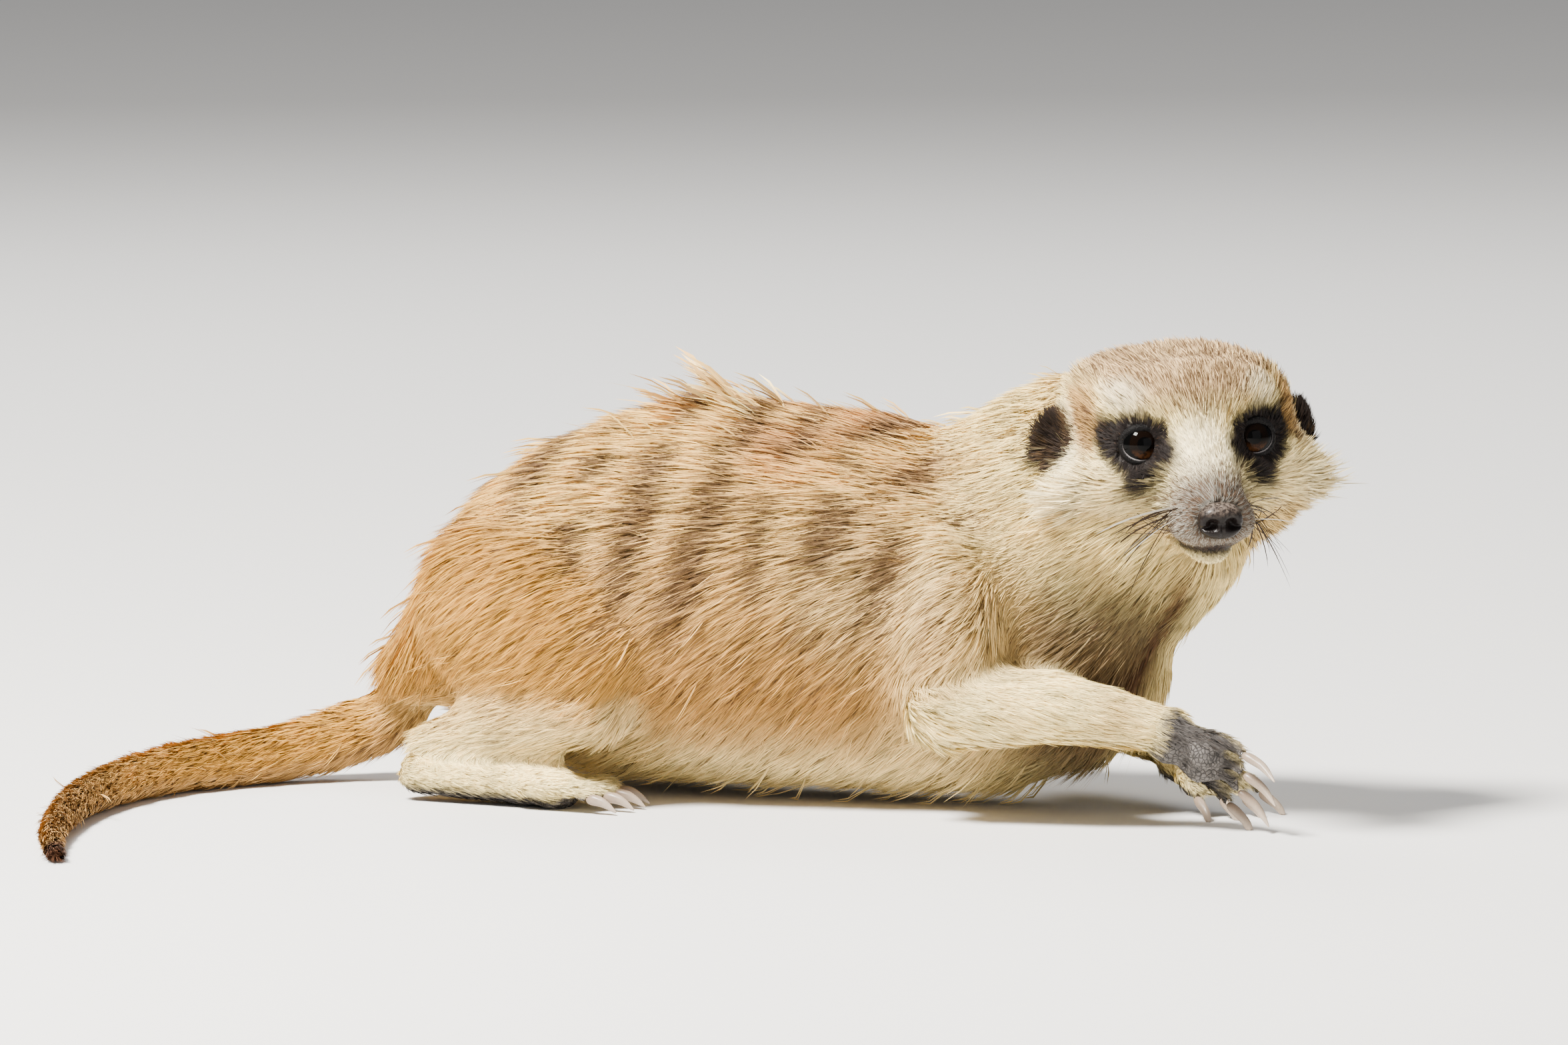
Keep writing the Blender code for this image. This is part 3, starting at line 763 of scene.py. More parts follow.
# ---------------- node trees
class Value:
    """An output socket of a tree, which arithmetic carries on into nodes."""

    def __init__(self, tree, socket):
        self.tree, self.socket = tree, socket

    def output(self, key):
        """Another output of the same node."""
        return Value(self.tree, self.socket.node.outputs[key])

    def maths(self, operation, *others):
        return self.tree.node("ShaderNodeMath", dict(enumerate((self, *others))), operation=operation)

    def __add__(self, other):
        return self.maths("ADD", other)

    def __sub__(self, other):
        return self.maths("SUBTRACT", other)

    def __mul__(self, other):
        return self.maths("MULTIPLY", other)

    def __truediv__(self, other):
        return self.maths("DIVIDE", other)

    def __pow__(self, other):
        return self.maths("POWER", other)

    def fraction(self):
        return self.maths("FRACT")

    def ranged(self, low, high, to_low=0.0, to_high=1.0, kind="SMOOTHSTEP"):
        return self.tree.node("ShaderNodeMapRange", {0: self, 1: low, 2: high, 3: to_low, 4: to_high},
                              interpolation_type=kind)


class Tree:
    """A node tree in the making."""

    def __init__(self, tree):
        self.tree, self.nodes = tree, tree.nodes

    def node(self, kind, inputs=None, output=0, **settings):
        """A new node with its settings and inputs: the Value of one of its outputs."""
        made = self.nodes.new(kind)
        made.location.x = 190 * len(self.nodes)
        for key, value in settings.items():
            setattr(made, key, value)
        for key, value in (inputs or {}).items():
            if isinstance(value, Value):
                self.tree.links.new(value.socket, made.inputs[key])
            else:
                made.inputs[key].default_value = value
        return Value(self, made.outputs[output]) if made.outputs else None

    def combined(self, x=0.0, y=0.0, z=0.0):
        return self.node("ShaderNodeCombineXYZ", {0: x, 1: y, 2: z})

    def mixed(self, share, first, second, kind="MIX"):
        return self.node("ShaderNodeMix", {0: share, 6: first, 7: second}, 2, data_type="RGBA",
                         blend_type=kind)

    def shaded(self, colour, grey, share=1.0):
        """A colour multiplied by a grey."""
        return self.mixed(share, colour, self.combined(grey, grey, grey), "MULTIPLY")

    def noise(self, scale, detail=2.0, place=None):
        return self.node("ShaderNodeTexNoise", {"Vector": place or self.place(), "Scale": scale,
                                                "Detail": detail})


class MaterialTree(Tree):
    """The node tree of a new material."""

    def __init__(self, name):
        self.material = bpy.data.materials.new(name)
        self.material.use_nodes = True
        super().__init__(self.material.node_tree)
        self.nodes.clear()

    def place(self):
        return self.node("ShaderNodeTexCoord", None, "Object")

    def attribute(self, name, output="Fac"):
        return self.node("ShaderNodeAttribute", None, output, attribute_name=name)

    def bump(self, height, strength, distance, **settings):
        return self.node("ShaderNodeBump", {"Height": height, "Strength": strength, "Distance": distance},
                         **settings)

    def principled(self, colour, roughness, specular, more=()):
        """Ends the tree in a Principled shader: the finished material."""
        shader = self.node("ShaderNodeBsdfPrincipled", {"Base Color": colour, "Roughness": roughness,
                                                        "Specular IOR Level": specular, **dict(more)})
        self.node("ShaderNodeOutputMaterial", {0: shader})
        return self.material


class GeometryTree(Tree):
    """A geometry node group, which ends in one mesh."""

    def chance(self, low, high, number, **inputs):
        """A random number, whose seed is the group's own and a number."""
        inputs = {2: low, 3: high, "Seed": self.given["Seed"] + float(number), **inputs}
        return self.node("FunctionNodeRandomValue", inputs, 1, data_type="FLOAT")

    def named(self, name, kind="FLOAT"):
        """A named attribute; the name may be a string socket."""
        return self.node("GeometryNodeInputNamedAttribute", {"Name": name}, "Attribute", data_type=kind)

    def store(self, geometry, name, value, kind="FLOAT", domain="POINT"):
        inputs = {"Geometry": geometry, "Name": name, "Value": value}
        return self.node("GeometryNodeStoreNamedAttribute", inputs, data_type=kind, domain=domain)


def group(name, kind, inputs, output):
    """A new node group's Tree, with its inputs by name in given; an input without a default is of the kind
    that its name says."""
    tree = bpy.data.node_groups.new(name, kind)
    kinds = {int: "Int", float: "Float", str: "String", tuple: "Vector"}
    for socket, default in inputs.items():
        shape = kinds.get(type(default), socket)
        shape = "Color" if shape == "Vector" and len(default) == 4 else shape
        made = tree.interface.new_socket(socket, in_out="INPUT", socket_type="NodeSocket" + shape)
        if default is not None:
            made.default_value = default
    tree.interface.new_socket(output, in_out="OUTPUT", socket_type="NodeSocket" + output)
    made = (GeometryTree if output == "Geometry" else Tree)(tree)
    entry = made.node("NodeGroupInput")
    made.given = {socket: entry.output(socket) for socket in inputs}
    return made


def tuft_group():
    """A fan of flat tapering blades from the origin along +X, one long, one wide and rising by one."""
    tree = group("tuft", "GeometryNodeTree", {"Blades": 5, "Points": 4, "Spread": 3.0, "Seed": 1}, "Geometry")
    given = tree.given
    blade = tree.node("GeometryNodeMeshGrid", {"Size X": 1.0, "Size Y": 1.0, "Vertices X": given["Points"],
                                               "Vertices Y": 2}, "Mesh")
    place = tree.node("ShaderNodeSeparateXYZ", {0: tree.node("GeometryNodeInputPosition")})
    blade = tree.store(blade, "along", place + 0.5)
    blade = tree.store(blade, "across", place.output(1))
    roots = tree.node("GeometryNodePoints", {"Count": given["Blades"]})
    roots = tree.store(roots, "blade", tree.node("GeometryNodeInputIndex"))
    fan = tree.node("GeometryNodeInstanceOnPoints", {"Points": roots, "Instance": blade})
    fan = tree.node("GeometryNodeRealizeInstances", {"Geometry": fan})
    number, along, across = (tree.named(name) for name in ("blade", "along", "across"))

    def by_blade(low, high, seed):
        return tree.chance(low, high, seed, ID=number)

    aside = across * ((along * -1.0 + 1.0) ** 0.6 * (along * 0.9 + 0.7))
    x = along * by_blade(0.7, 1.0, 10) + by_blade(-0.12, 0.02, 20)
    fanned = along ** 1.4 * by_blade(-1.0, 1.0, 30)
    y = fanned * given["Spread"] + aside + by_blade(-0.6, 0.6, 40) * given["Spread"]
    rise = along * (along * -0.42 + 1.0) * by_blade(0.55, 1.35, 50) - 0.05
    z = aside * by_blade(-0.07, 0.07, 60) + rise
    fan = tree.node("GeometryNodeSetPosition", {"Geometry": fan, "Position": tree.combined(x, y, z)})
    fan = tree.node("GeometryNodeMergeByDistance", {"Geometry": fan, "Distance": 1e-5})
    tree.node("NodeGroupOutput", {0: fan})
    return tree.tree


def coat_group(tuft):
    """Tufts of blades over one piece of the skin, lying as its fields say, as a plain mesh."""
    tree = group("coat", "GeometryNodeTree", {
        "Geometry": None, "Piece": -1, "Bed": "thickness", "Lie": "lie", "Tufts per Area": 6e5, "Blades": 5,
        "Points": 4, "Spread": 3.0, "Length": 1.0, "Width": 1.0, "Rise": 1.0, "Yaw": 0.2, "Seed": 1,
        "Material": None}, "Geometry")
    given, chance, named = tree.given, tree.chance, tree.named

    def compared(first, second, operation):
        return tree.node("FunctionNodeCompare", {2: first, 3: second}, data_type="INT", operation=operation)

    mine = compared(named("piece", "INT"), given["Piece"], "EQUAL")
    chosen = {0: mine, 1: compared(given["Piece"], 0, "LESS_THAN")}
    points = tree.node("GeometryNodeDistributePointsOnFaces", {
        "Mesh": given["Geometry"], "Selection": tree.node("FunctionNodeBooleanMath", chosen, operation="OR"),
        "Density": named(given["Bed"]) * given["Tufts per Area"], "Seed": given["Seed"]}, "Points")
    lie = named(given["Lie"], "FLOAT_VECTOR")
    turn = tree.node("FunctionNodeAxesToRotation", {0: points.output("Normal"), 1: lie}, primary_axis="Z",
                     secondary_axis="X")
    points = tree.store(points, "root", named("OFBake", "FLOAT_VECTOR"), "FLOAT_VECTOR")
    points = tree.store(points, "tuft", chance(0.0, 1.0, 5))
    sway = tree.combined(chance(-0.55, 0.55, 6), 0.0, chance(-1.0, 1.0, 7) * given["Yaw"])
    sway = tree.node("FunctionNodeEulerToRotation", {0: sway})
    turn = tree.node("FunctionNodeRotateRotation", {0: turn, 1: sway}, rotation_space="LOCAL")
    length = named("hair_length") * given["Length"] * chance(0.72, 1.12, 8)
    width = named("hair_width") * given["Width"]
    rise = length * named("hair_rise") * given["Rise"]
    sizes = {key: given[key] for key in ("Blades", "Points", "Spread")}
    kinds = tree.nodes.new("GeometryNodeJoinGeometry")
    for seed in (300, 200, 100):
        fan = tree.node("GeometryNodeGroup", {**sizes, "Seed": seed}, node_tree=tuft)
        tree.tree.links.new(tree.node("GeometryNodeGeometryToInstance", {0: fan}).socket, kinds.inputs[0])
    coat = tree.node("GeometryNodeInstanceOnPoints", {
        "Points": points, "Instance": Value(tree, kinds.outputs[0]), "Pick Instance": True, "Rotation": turn,
        "Instance Index": tree.node("FunctionNodeRandomValue", {4: 0, 5: 2}, 2, data_type="INT"),
        "Scale": tree.combined(length, width, rise)})
    coat = tree.node("GeometryNodeRealizeInstances", {"Geometry": coat})
    blade, tufted = named("blade"), named("tuft")
    share = (blade * 0.618 + tufted).fraction()
    coat = tree.store(coat, "strand", tufted * 0.62 + share * 0.38)
    column = (blade + named("across") + 0.5) / given["Blades"]
    patch = tree.combined((column - 0.5) * BAKE_PATCH, (named("along") - 0.5) * BAKE_PATCH)
    patch = tree.node("ShaderNodeVectorMath", {0: patch, 1: named("root", "FLOAT_VECTOR")}, operation="ADD")
    coat = tree.store(coat, "OFBake", patch, "FLOAT2", "CORNER")
    coat = tree.node("GeometryNodeSetShadeSmooth", {0: coat})
    coat = tree.node("GeometryNodeSetMaterial", {"Geometry": coat, "Material": given["Material"]})
    tree.node("NodeGroupOutput", {0: coat})
    return tree.tree


# Fields that only the growing needs.
SPARE = ("lie", "hair_length", "hair_width", "hair_rise", "thickness", "guard_bed", "whisker_bed",
         "whisker_lie", "across", "blade", "tuft", "root", "piece")
BAKE_PATCH = 0.003                             # a tuft's size in the UV map
PRESSED, PRESSED_TO = 0.8 * MM, 0.25 * MM      # hair under the first height is pressed down to the second


def grown(name, tree, **values):
    """The mesh that a coat tree grows on the skin; its inputs are set by their identifiers."""
    skin = WORK["skin"]
    modifier = skin.modifiers.new(name, "NODES")
    modifier.node_group = tree
    for item in tree.interface.items_tree:
        if item.in_out == "INPUT" and item.name in values:
            modifier[item.identifier] = values[item.name]
    mesh = evaluated_mesh(skin)
    skin.modifiers.remove(modifier)
    mesh.name = name
    for spare in SPARE:
        if spare in mesh.attributes:
            mesh.attributes.remove(mesh.attributes[spare])
    places = places_in(mesh)
    low, room = places[:, 2] < PRESSED, PRESSED - PRESSED_TO
    places[low, 2] = PRESSED_TO + room * np.exp((places[low, 2] - PRESSED) / room)
    put_places(mesh, places)
    return new_object(name, mesh)


# ---------------- finishes
def coat_colour_group():
    """The coat's colour: its tint, darker at the roots, with dark hairs where their share is high."""
    tree = group("coat_colour", "ShaderNodeTree", {
        "Tint": (0.5, 0.4, 0.3, 1), "Dark Hairs": 0.1, "Dark": (0.1, 0.06, 0.03, 1), "Strand": 0.5,
        "Along": 0.5, "Place": (0, 0, 0)}, "Color")
    tint, dark, dark_colour, strand, along, place = tree.given.values()
    patchy = tree.noise(90.0, place=place).ranged(0.3, 0.7, 0.88, 1.12)
    bright = ((strand - 0.5) * 0.60 + patchy) * along.ranged(0.0, 0.55, 0.52, 1.0)
    bright = bright * along.ranged(0.55, 1.0, 1.0, 1.16)
    share = (strand * 7.31).fraction().ranged(dark - 0.06, dark + 0.06, 1.0, 0.0, "LINEAR")
    share = share * along.ranged(0.15, 0.5) * 0.9
    tree.node("NodeGroupOutput", {0: tree.mixed(share, tree.shaded(tint, bright), dark_colour)})


def coat_colour(tree, strand, along):
    """The coat's colour group, placed in a material's tree."""
    return tree.node("ShaderNodeGroup", {
        "Tint": tree.attribute("tint", "Color"), "Dark Hairs": tree.attribute("dark_hairs"), "Strand": strand,
        "Along": along, "Place": tree.place(), "Dark": (*bpy.context.scene.meerkat_colours.dark_hair, 1)},
        node_tree=bpy.data.node_groups["coat_colour"])


def coat_material():
    tree = MaterialTree("coat")
    return tree.principled(coat_colour(tree, tree.attribute("strand"), tree.attribute("along")), 0.65, 0.09)


def skin_material():
    """The skin under the coat: the coat's markings, and bare leather on lips and pads."""
    tree = MaterialTree("skin")
    fine = tree.noise(1400.0, 3.0)
    creases = tree.node("ShaderNodeTexVoronoi", {"Vector": tree.place(), "Scale": 1100.0},
                        feature="DISTANCE_TO_EDGE").ranged(0.0, 0.16)
    shade = creases.ranged(0.0, 1.0, 0.35, 1.0) * tree.noise(500.0, 4.0).ranged(0.3, 0.7, 0.6, 1.35)
    leather = tree.mixed(tree.attribute("bare"), (1, 1, 1, 1), tree.combined(shade, shade, shade))
    colour = tree.mixed(1.0, coat_colour(tree, fine, 0.34), leather, "MULTIPLY")
    return tree.principled(colour, 0.7, 0.3, {"Normal": tree.bump(fine + creases, 0.6, 0.0003)})


def colour_setting(name, about, value):
    return FloatVectorProperty(name=name, description=about, default=value, subtype="COLOR", size=3, min=0,
                               max=1)


class MeerkatColours(bpy.types.PropertyGroup):
    buff: colour_setting("Buff", "Back between the stripes", (0.76, 0.485, 0.14))
    straw: colour_setting("Straw", "Flanks", (0.47, 0.245, 0.062))
    golden: colour_setting("Golden", "Rump, thighs and top of the tail", (0.53, 0.265, 0.044))
    cream: colour_setting("Cream", "Neck, cheeks, shoulders and belly", (0.83, 0.66, 0.275))
    pale_yellow: colour_setting("Pale yellow", "Forearms, feet and chin", (0.98, 0.81, 0.375))
    # olive stands for painted shade, on the chest and along the jaw's fold
    olive: colour_setting("Olive", "Shaded hair of the chest", (0.068, 0.052, 0.032))
    rust: colour_setting("Rust", "Patches over the withers", (0.46, 0.18, 0.055))
    tan: colour_setting("Tan", "Temples and underside of the tail", (0.45, 0.25, 0.080))
    crown: colour_setting("Crown", "Top of the head", (0.51, 0.34, 0.165))
    grey: colour_setting("Grey", "Muzzle round the nose", (0.275, 0.255, 0.22))
    white: colour_setting("White", "Brows and bridge of the muzzle", (0.91, 0.80, 0.52))
    band: colour_setting("Band", "Stripes of the back", (0.34, 0.18, 0.10))
    black: colour_setting("Black", "Patches round the eyes", (0.012, 0.009, 0.008))
    ear: colour_setting("Ear", "Hair of the ears", (0.018, 0.012, 0.009))
    brown: colour_setting("Brown", "Lips and tip of the tail", (0.070, 0.030, 0.015))
    pad: colour_setting("Pad", "Bare pads of the paws", (0.145, 0.13, 0.12))
    dark_hair: colour_setting("Dark hair", "Dark hairs of stripes and ticking", (0.075, 0.038, 0.018))


class MeerkatCoat(bpy.types.PropertyGroup):
    voxel: FloatProperty(name="Skin grain", description="Size of the skin's faces", unit="LENGTH",
                         default=1.2 * MM, min=0.8 * MM, max=4 * MM, precision=4)
    tufts: FloatProperty(name="Tufts", description="Tufts for each square metre of the back", default=13e5,
                         min=1)
    blades: IntProperty(name="Blades", description="Blades in each tuft", default=5, min=1, max=12)
    length: FloatProperty(name="Length", description="Hair's length, times its own", default=1.0, min=0.1)
    rise: FloatProperty(name="Rise", description="How far the hair rises, times its own", default=1.0, min=0)
    seed: IntProperty(name="Seed", description="Seed of the hair's places", default=7)


class MeerkatStage(bpy.types.PropertyGroup):
    floor: colour_setting("Floor", "Studio floor and backdrop", (0.74, 0.73, 0.71))
    distance: FloatProperty(name="Camera distance", description="From the camera to what it looks at",
                            unit="LENGTH", default=3.0, min=0.5)
    azimuth: FloatProperty(name="Azimuth", description="Camera's turn from the right side towards the head",
                           subtype="ANGLE", unit="ROTATION", default=math.radians(19))
    elevation: FloatProperty(name="Elevation", description="Camera's height above level", subtype="ANGLE",
                             unit="ROTATION", default=math.radians(6))


class MEERKAT_OT_skin(bpy.types.Operator):
    """Grow the skin over the solids of flesh and lay the coat's fields on it"""
    bl_idname = "meerkat.skin"
    bl_label = "Skin"

    def execute(self, context):
        skin = flesh_mesh(context.scene.meerkat_coat.voxel)
        mesh = skin.data
        refine(mesh)
        edges, places = edges_of(mesh), places_in(mesh)
        shares = part_shares(places, edges)
        places = smoothed(places, edges, shares)
        put_places(mesh, places)
        table = spread(coat_table(places, shares), edges, 6)
        normals = unit(spread(normals_of(mesh), edges, 3))
        table[:, DEPTH] *= 1 - 0.8 * step(0.1, -0.6, normals[:, 2]) * shares["tail"]    # it lies on the floor
        places = places - normals * table[:, [DEPTH]] * MM
        places = spread(places, edges, 3, 0.4 * (1 - shares["ear"]))
        places = toed(faced(places), shares)
        put_places(mesh, places)
        normals = normals_of(mesh)
        crest = crest_share(places)
        hollow = hollows(places, normals, edges) * (1 - shares["head"]) * (1 - shares["ear"])
        table[:, LENGTH] *= (1 - 0.45 * hollow) * (1 + 0.15 * crest)
        table[:, RISE] *= (1 - 0.4 * hollow) * (1 + crest)
        paint = Paint(context.scene.meerkat_colours, "buff", 0.08)
        body_tint(paint, places, normals, edges, shares)
        face_tint(paint, places, shares)
        under = 1 - 0.65 * step(-0.3, -0.7, normals[:, 2]) * (1 - shares["head"] - 0.7 * shares["tail"])
        head = mirrored(in_head(places))
        lips = np.abs(head[:, 2] - mouth_line(head[:, 1])) + 10 * ((head[:, 0] < 0.6) | (head[:, 1] > 1.15))
        under *= blend(0.04, 1, step(0.10, 0.17, lips))
        table[:, LENGTH] *= blend(0.35, 1, step(0.15, 0.5, lips))
        bare = step(0.17, 0.10, lips)
        for limb, paw, _ in paws(places):
            pads = step(0.15, 0.5, pad_share(paw) * shares["paw_" + limb])
            under *= 1 - pads
            bare = np.maximum(bare, pads)
        for name, values in {
                "tint": np.column_stack([np.clip(paint.tint, 0, 1), np.ones(len(places))]),
                "dark_hairs": np.clip(paint.dark, 0, 1), "lie": hair_lie(places, normals, edges, shares),
                "whisker_lie": whisker_lie(places), "bare": bare, "hair_length": table[:, LENGTH] * MM,
                "hair_width": table[:, WIDTH] * MM, "hair_rise": table[:, RISE],
                "thickness": table[:, THICKNESS] * under,
                "guard_bed": guard_bed(places, shares), "whisker_bed": whisker_bed(places)}.items():
            field(mesh, name, values)
        corners = read(mesh.loops, "vertex_index", 1, np.int32)[:, 0]
        starts = read(mesh.polygons, "loop_start", 1, np.int32)[:, 0]
        pieces = coat_pieces(places, normals, shares)[corners[starts]].astype(np.int32)
        mesh.attributes.new("piece", "INT", "FACE").data.foreach_set("value", pieces)
        unwrapped(skin)
        dress(skin, skin_material())
        WORK["skin"], WORK["tree"] = skin, coat_group(tuft_group())
        return {"FINISHED"}


def hollows(places, normals, edges):
    """How far each vertex lies in a fold of the skin, or on a sharp ridge."""
    depth = ((spread(places, edges, 25) - places) * normals).sum(axis=1) / (0.5 * MM)
    return spread(np.clip(depth, 0, 1) + step(-0.9, -2.0, depth), edges, 4)


def unwrapped(skin):
    """An unwrap of the skin's own shape, named OFBake, which the tufts' patches follow."""
    layer = skin.data.uv_layers.new(name="OFBake")
    skin.data.uv_layers.active = layer
    context = bpy.context
    context.view_layer.objects.active = skin
    skin.select_set(True)
    bpy.ops.object.mode_set(mode="EDIT")
    bpy.ops.mesh.select_all(action="SELECT")
    bpy.ops.uv.smart_project(angle_limit=math.radians(70), island_margin=0.002)
    bpy.ops.object.mode_set(mode="OBJECT")
    skin.select_set(False)


class MEERKAT_OT_coat(bpy.types.Operator):
    """Grow the coat's tufts over the skin, one piece for each region"""
    bl_idname = "meerkat.coat"
    bl_label = "Coat"

    def execute(self, context):
        sizes = context.scene.meerkat_coat
        tree, finish = WORK["tree"], coat_material()
        for number, (name, slot) in enumerate(SLOTS.items()):
            coat = grown("coat_" + name, tree, **{
                "Piece": number, "Tufts per Area": sizes.tufts, "Blades": sizes.blades, "Points": 3,
                "Spread": 2.4 if name in ("face", "ears") else 3.2, "Length": sizes.length,
                "Rise": sizes.rise, "Seed": sizes.seed + number, "Material": finish})
            settle(coat, slot)
        guard = grown("coat_guard_hairs", tree, **{
            "Bed": "guard_bed", "Tufts per Area": 0.03 * sizes.tufts, "Blades": 3, "Points": 4, "Spread": 5.0,
            "Length": 1.25 * sizes.length, "Width": 0.45, "Rise": 2.0 * sizes.rise, "Yaw": 0.5,
            "Seed": sizes.seed + 60, "Material": finish})
        fields = guard.data.attributes
        tints = read(fields["tint"].data, "color", 4)
        pale = 0.1 + 0.6 * crest_share(places_in(guard.data))
        tints[:, :3] = blend(tints[:, :3], context.scene.meerkat_colours.pale_yellow, pale)
        fields["tint"].data.foreach_set("color", tints.ravel())
        fields["dark_hairs"].data.foreach_set("value", np.full(len(tints), 0.04, np.float32))
        settle(guard, "coat_buff")
        settle(WORK["skin"], "coat_buff", *FLESH)
        return {"FINISHED"}


def eye_axes(sign, way):
    """An eyeball's centre in metres and the axes along its way, outwards and up."""
    ahead = unit(np.array([way[0], sign * way[1], way[2]]) @ HEAD_AXES)
    out = unit(sign * np.cross(HEAD_AXES[2], ahead))
    return eye_centre(sign), np.array([ahead, out, sign * np.cross(ahead, out)])


def polar_mesh(name, rings, segments, shape):
    """A closed shell of the places that shape gives for the angle from its pole and the way out from its
    centre; both poles are single points."""
    made = bmesh.new()
    rows = []
    for k in range(rings + 1):
        lean = math.pi * k / rings
        turns = [0.0] if k in (0, rings) else [2 * math.pi * j / segments for j in range(segments)]
        ways = [np.array([math.cos(lean), math.sin(lean) * math.cos(turn), math.sin(lean) * math.sin(turn)])
                for turn in turns]
        rows.append([made.verts.new(shape(lean, way)) for way in ways])
    for upper, lower in zip(rows, rows[1:]):
        for j, after in ((j, j + 1) for j in range(segments)):
            ring = [row[k % len(row)] for row, k in ((upper, j), (lower, j), (lower, after), (upper, after))]
            made.faces.new(list(dict.fromkeys(ring)))
    bmesh.ops.recalc_face_normals(made, faces=made.faces)
    return poured(made, name)


EYE_LOOKS = (0.96, 0.03, 0.26)      # the way that the left eye looks, in head coordinates
# A lid's section: degrees outwards from its margin, and height over the eyeball in centimetres.
LID_SECTION = ((-3, -0.05), (0, 0.0), (1.5, 0.022), (5, 0.048), (12, 0.058), (21, 0.035), (30, -0.02),
               (18, -0.09))


def eye_material():
    """Wet eyeball: pupil, brown iris with painted light on its lower part and the lid's painted shade over
    its upper part, dark rim.
    """
    tree = MaterialTree("eyeball")
    angle = tree.attribute("from_gaze")
    # painted light: the iris is brown only low down, and near black above where the lid shades it
    lit = tree.attribute("height").ranged(-0.16, -0.52) * tree.noise(1800.0).ranged(0.2, 0.6)
    iris = tree.mixed(lit, (0.003, 0.0016, 0.001, 1), (0.040, 0.016, 0.006, 1))
    colour = tree.mixed(angle.ranged(0.28, 0.36), (0.0008, 0.0008, 0.0008, 1), iris)
    colour = tree.mixed(angle.ranged(0.62, 0.76), colour, (0.001, 0.001, 0.001, 1))
    return tree.principled(colour, 0.3, 0.0, {"Coat Weight": 0.22, "Coat Roughness": 0.03, "Coat IOR": 1.36})


class MEERKAT_OT_eyes(bpy.types.Operator):
    """Build the eyeballs, each with its cornea, iris and pupil"""
    bl_idname = "meerkat.eyes"
    bl_label = "Eyes"

    def execute(self, context):
        finish = eye_material()
        for name, sign in SIDES:
            centre, axes = eye_axes(sign, EYE_LOOKS)

            def shape(lean, way):
                return centre + EYE_RADIUS * CM * (0.985 + 0.035 * math.exp(-(lean / 0.55) ** 2)) * way @ axes

            eye = new_object("eyeball_" + name, polar_mesh("eyeball_" + name, 48, 64, shape))
            ways = unit(places_in(eye.data) - centre) @ axes.T
            field(eye.data, "from_gaze", np.arccos(np.clip(ways[:, 0], -1, 1)))
            field(eye.data, "height", ways[:, 2])
            dress(eye, finish)
            settle(eye, "eye_wet", "eye_" + name)
        return {"FINISHED"}


def lid_material():
    """Black wrinkled skin, with a painted highlight on the moist margin under the eye."""
    tree = MaterialTree("eyelid")
    colour = tree.mixed(tree.attribute("painted_glint"), (0.004, 0.0035, 0.0035, 1), (0.24, 0.22, 0.22, 1))
    return tree.principled(colour, 0.5, 0.09, {"Normal": tree.bump(tree.noise(2200.0, 4.0), 0.9, 0.0004)})


LID_STEPS = 48
LID_OUT, LID_UP, LID_DOWN = 55, 36, 43      # degrees that the eye opens to its ends, up and down
# Where round the eye its inner corner is, and where the painted highlight of its wet margin lies.
CORNER_AT, PAINTED_GLINT_AT = math.radians(197), math.radians(295)


def lid_mesh(name, sign):
    """A thick lid all round an eye, on the section above."""
    centre, axes = eye_axes(sign, EYE_OPENS)
    made, rows, painted_glint = bmesh.new(), [], []
    for turn in [2 * math.pi * j / LID_STEPS for j in range(LID_STEPS)]:
        out, up = math.cos(turn), math.sin(turn)
        margin = 1 / math.hypot(out / LID_OUT, up / (LID_UP if up > 0 else LID_DOWN))
        margin += 9 * max(0.0, math.cos(turn - CORNER_AT)) ** 8
        rows.append([])
        for k, (lean, height) in enumerate(LID_SECTION):
            angle = math.radians(margin + lean)
            height *= 1 + (0.5 * max(up, 0) if height > 0 else 0)
            way = np.array([math.cos(angle), math.sin(angle) * out, math.sin(angle) * up])
            rows[-1].append(made.verts.new(centre + (EYE_RADIUS + height) * CM * way @ axes))
            # the margin's row carries the painted highlight, strongest below the eye
            painted_glint.append(max(0.0, math.cos(turn - PAINTED_GLINT_AT)) ** 3 * (k == 1))
    for here, there in zip(rows, rows[1:] + rows[:1]):
        for k in range(len(LID_SECTION)):
            made.faces.new((here[k], here[k - 1], there[k - 1], there[k]))
    bmesh.ops.recalc_face_normals(made, faces=made.faces)
    mesh = poured(made, name)
    field(mesh, "painted_glint", painted_glint)
    return mesh


class MEERKAT_OT_lids(bpy.types.Operator):
    """Lay the thick dark lids round the eyes"""
    bl_idname = "meerkat.lids"
    bl_label = "Eyelids"

    def execute(self, context):
        finish = lid_material()
        for name, sign in SIDES:
            lids = new_object("eyelids_" + name, lid_mesh("eyelids_" + name, sign))
            modified(lids, "SUBSURF", levels=2, render_levels=2)
            dress(lids, finish)
            settle(lids, "coat_dark")
        return {"FINISHED"}


class MEERKAT_OT_whiskers(bpy.types.Operator):
    """Grow the whiskers from the muzzle's sides"""
    bl_idname = "meerkat.whiskers"
    bl_label = "Whiskers"

    def execute(self, context):
        tree = MaterialTree("whisker")
        pale = tree.attribute("strand").ranged(0.87, 0.90)
        tone = tree.mixed(pale, (0.03, 0.02, 0.015, 1), (0.6, 0.55, 0.46, 1))
        whiskers = grown("whiskers", WORK["tree"], **{
            "Bed": "whisker_bed", "Lie": "whisker_lie", "Tufts per Area": 6e5, "Blades": 1, "Points": 8,
            "Spread": 0.0, "Length": 9.5, "Width": 0.28, "Rise": 1.3, "Yaw": 0.42,
            "Seed": context.scene.meerkat_coat.seed + 80, "Material": tree.principled(tone, 0.6, 0.08)})
        settle(whiskers, "coat_dark")
        return {"FINISHED"}


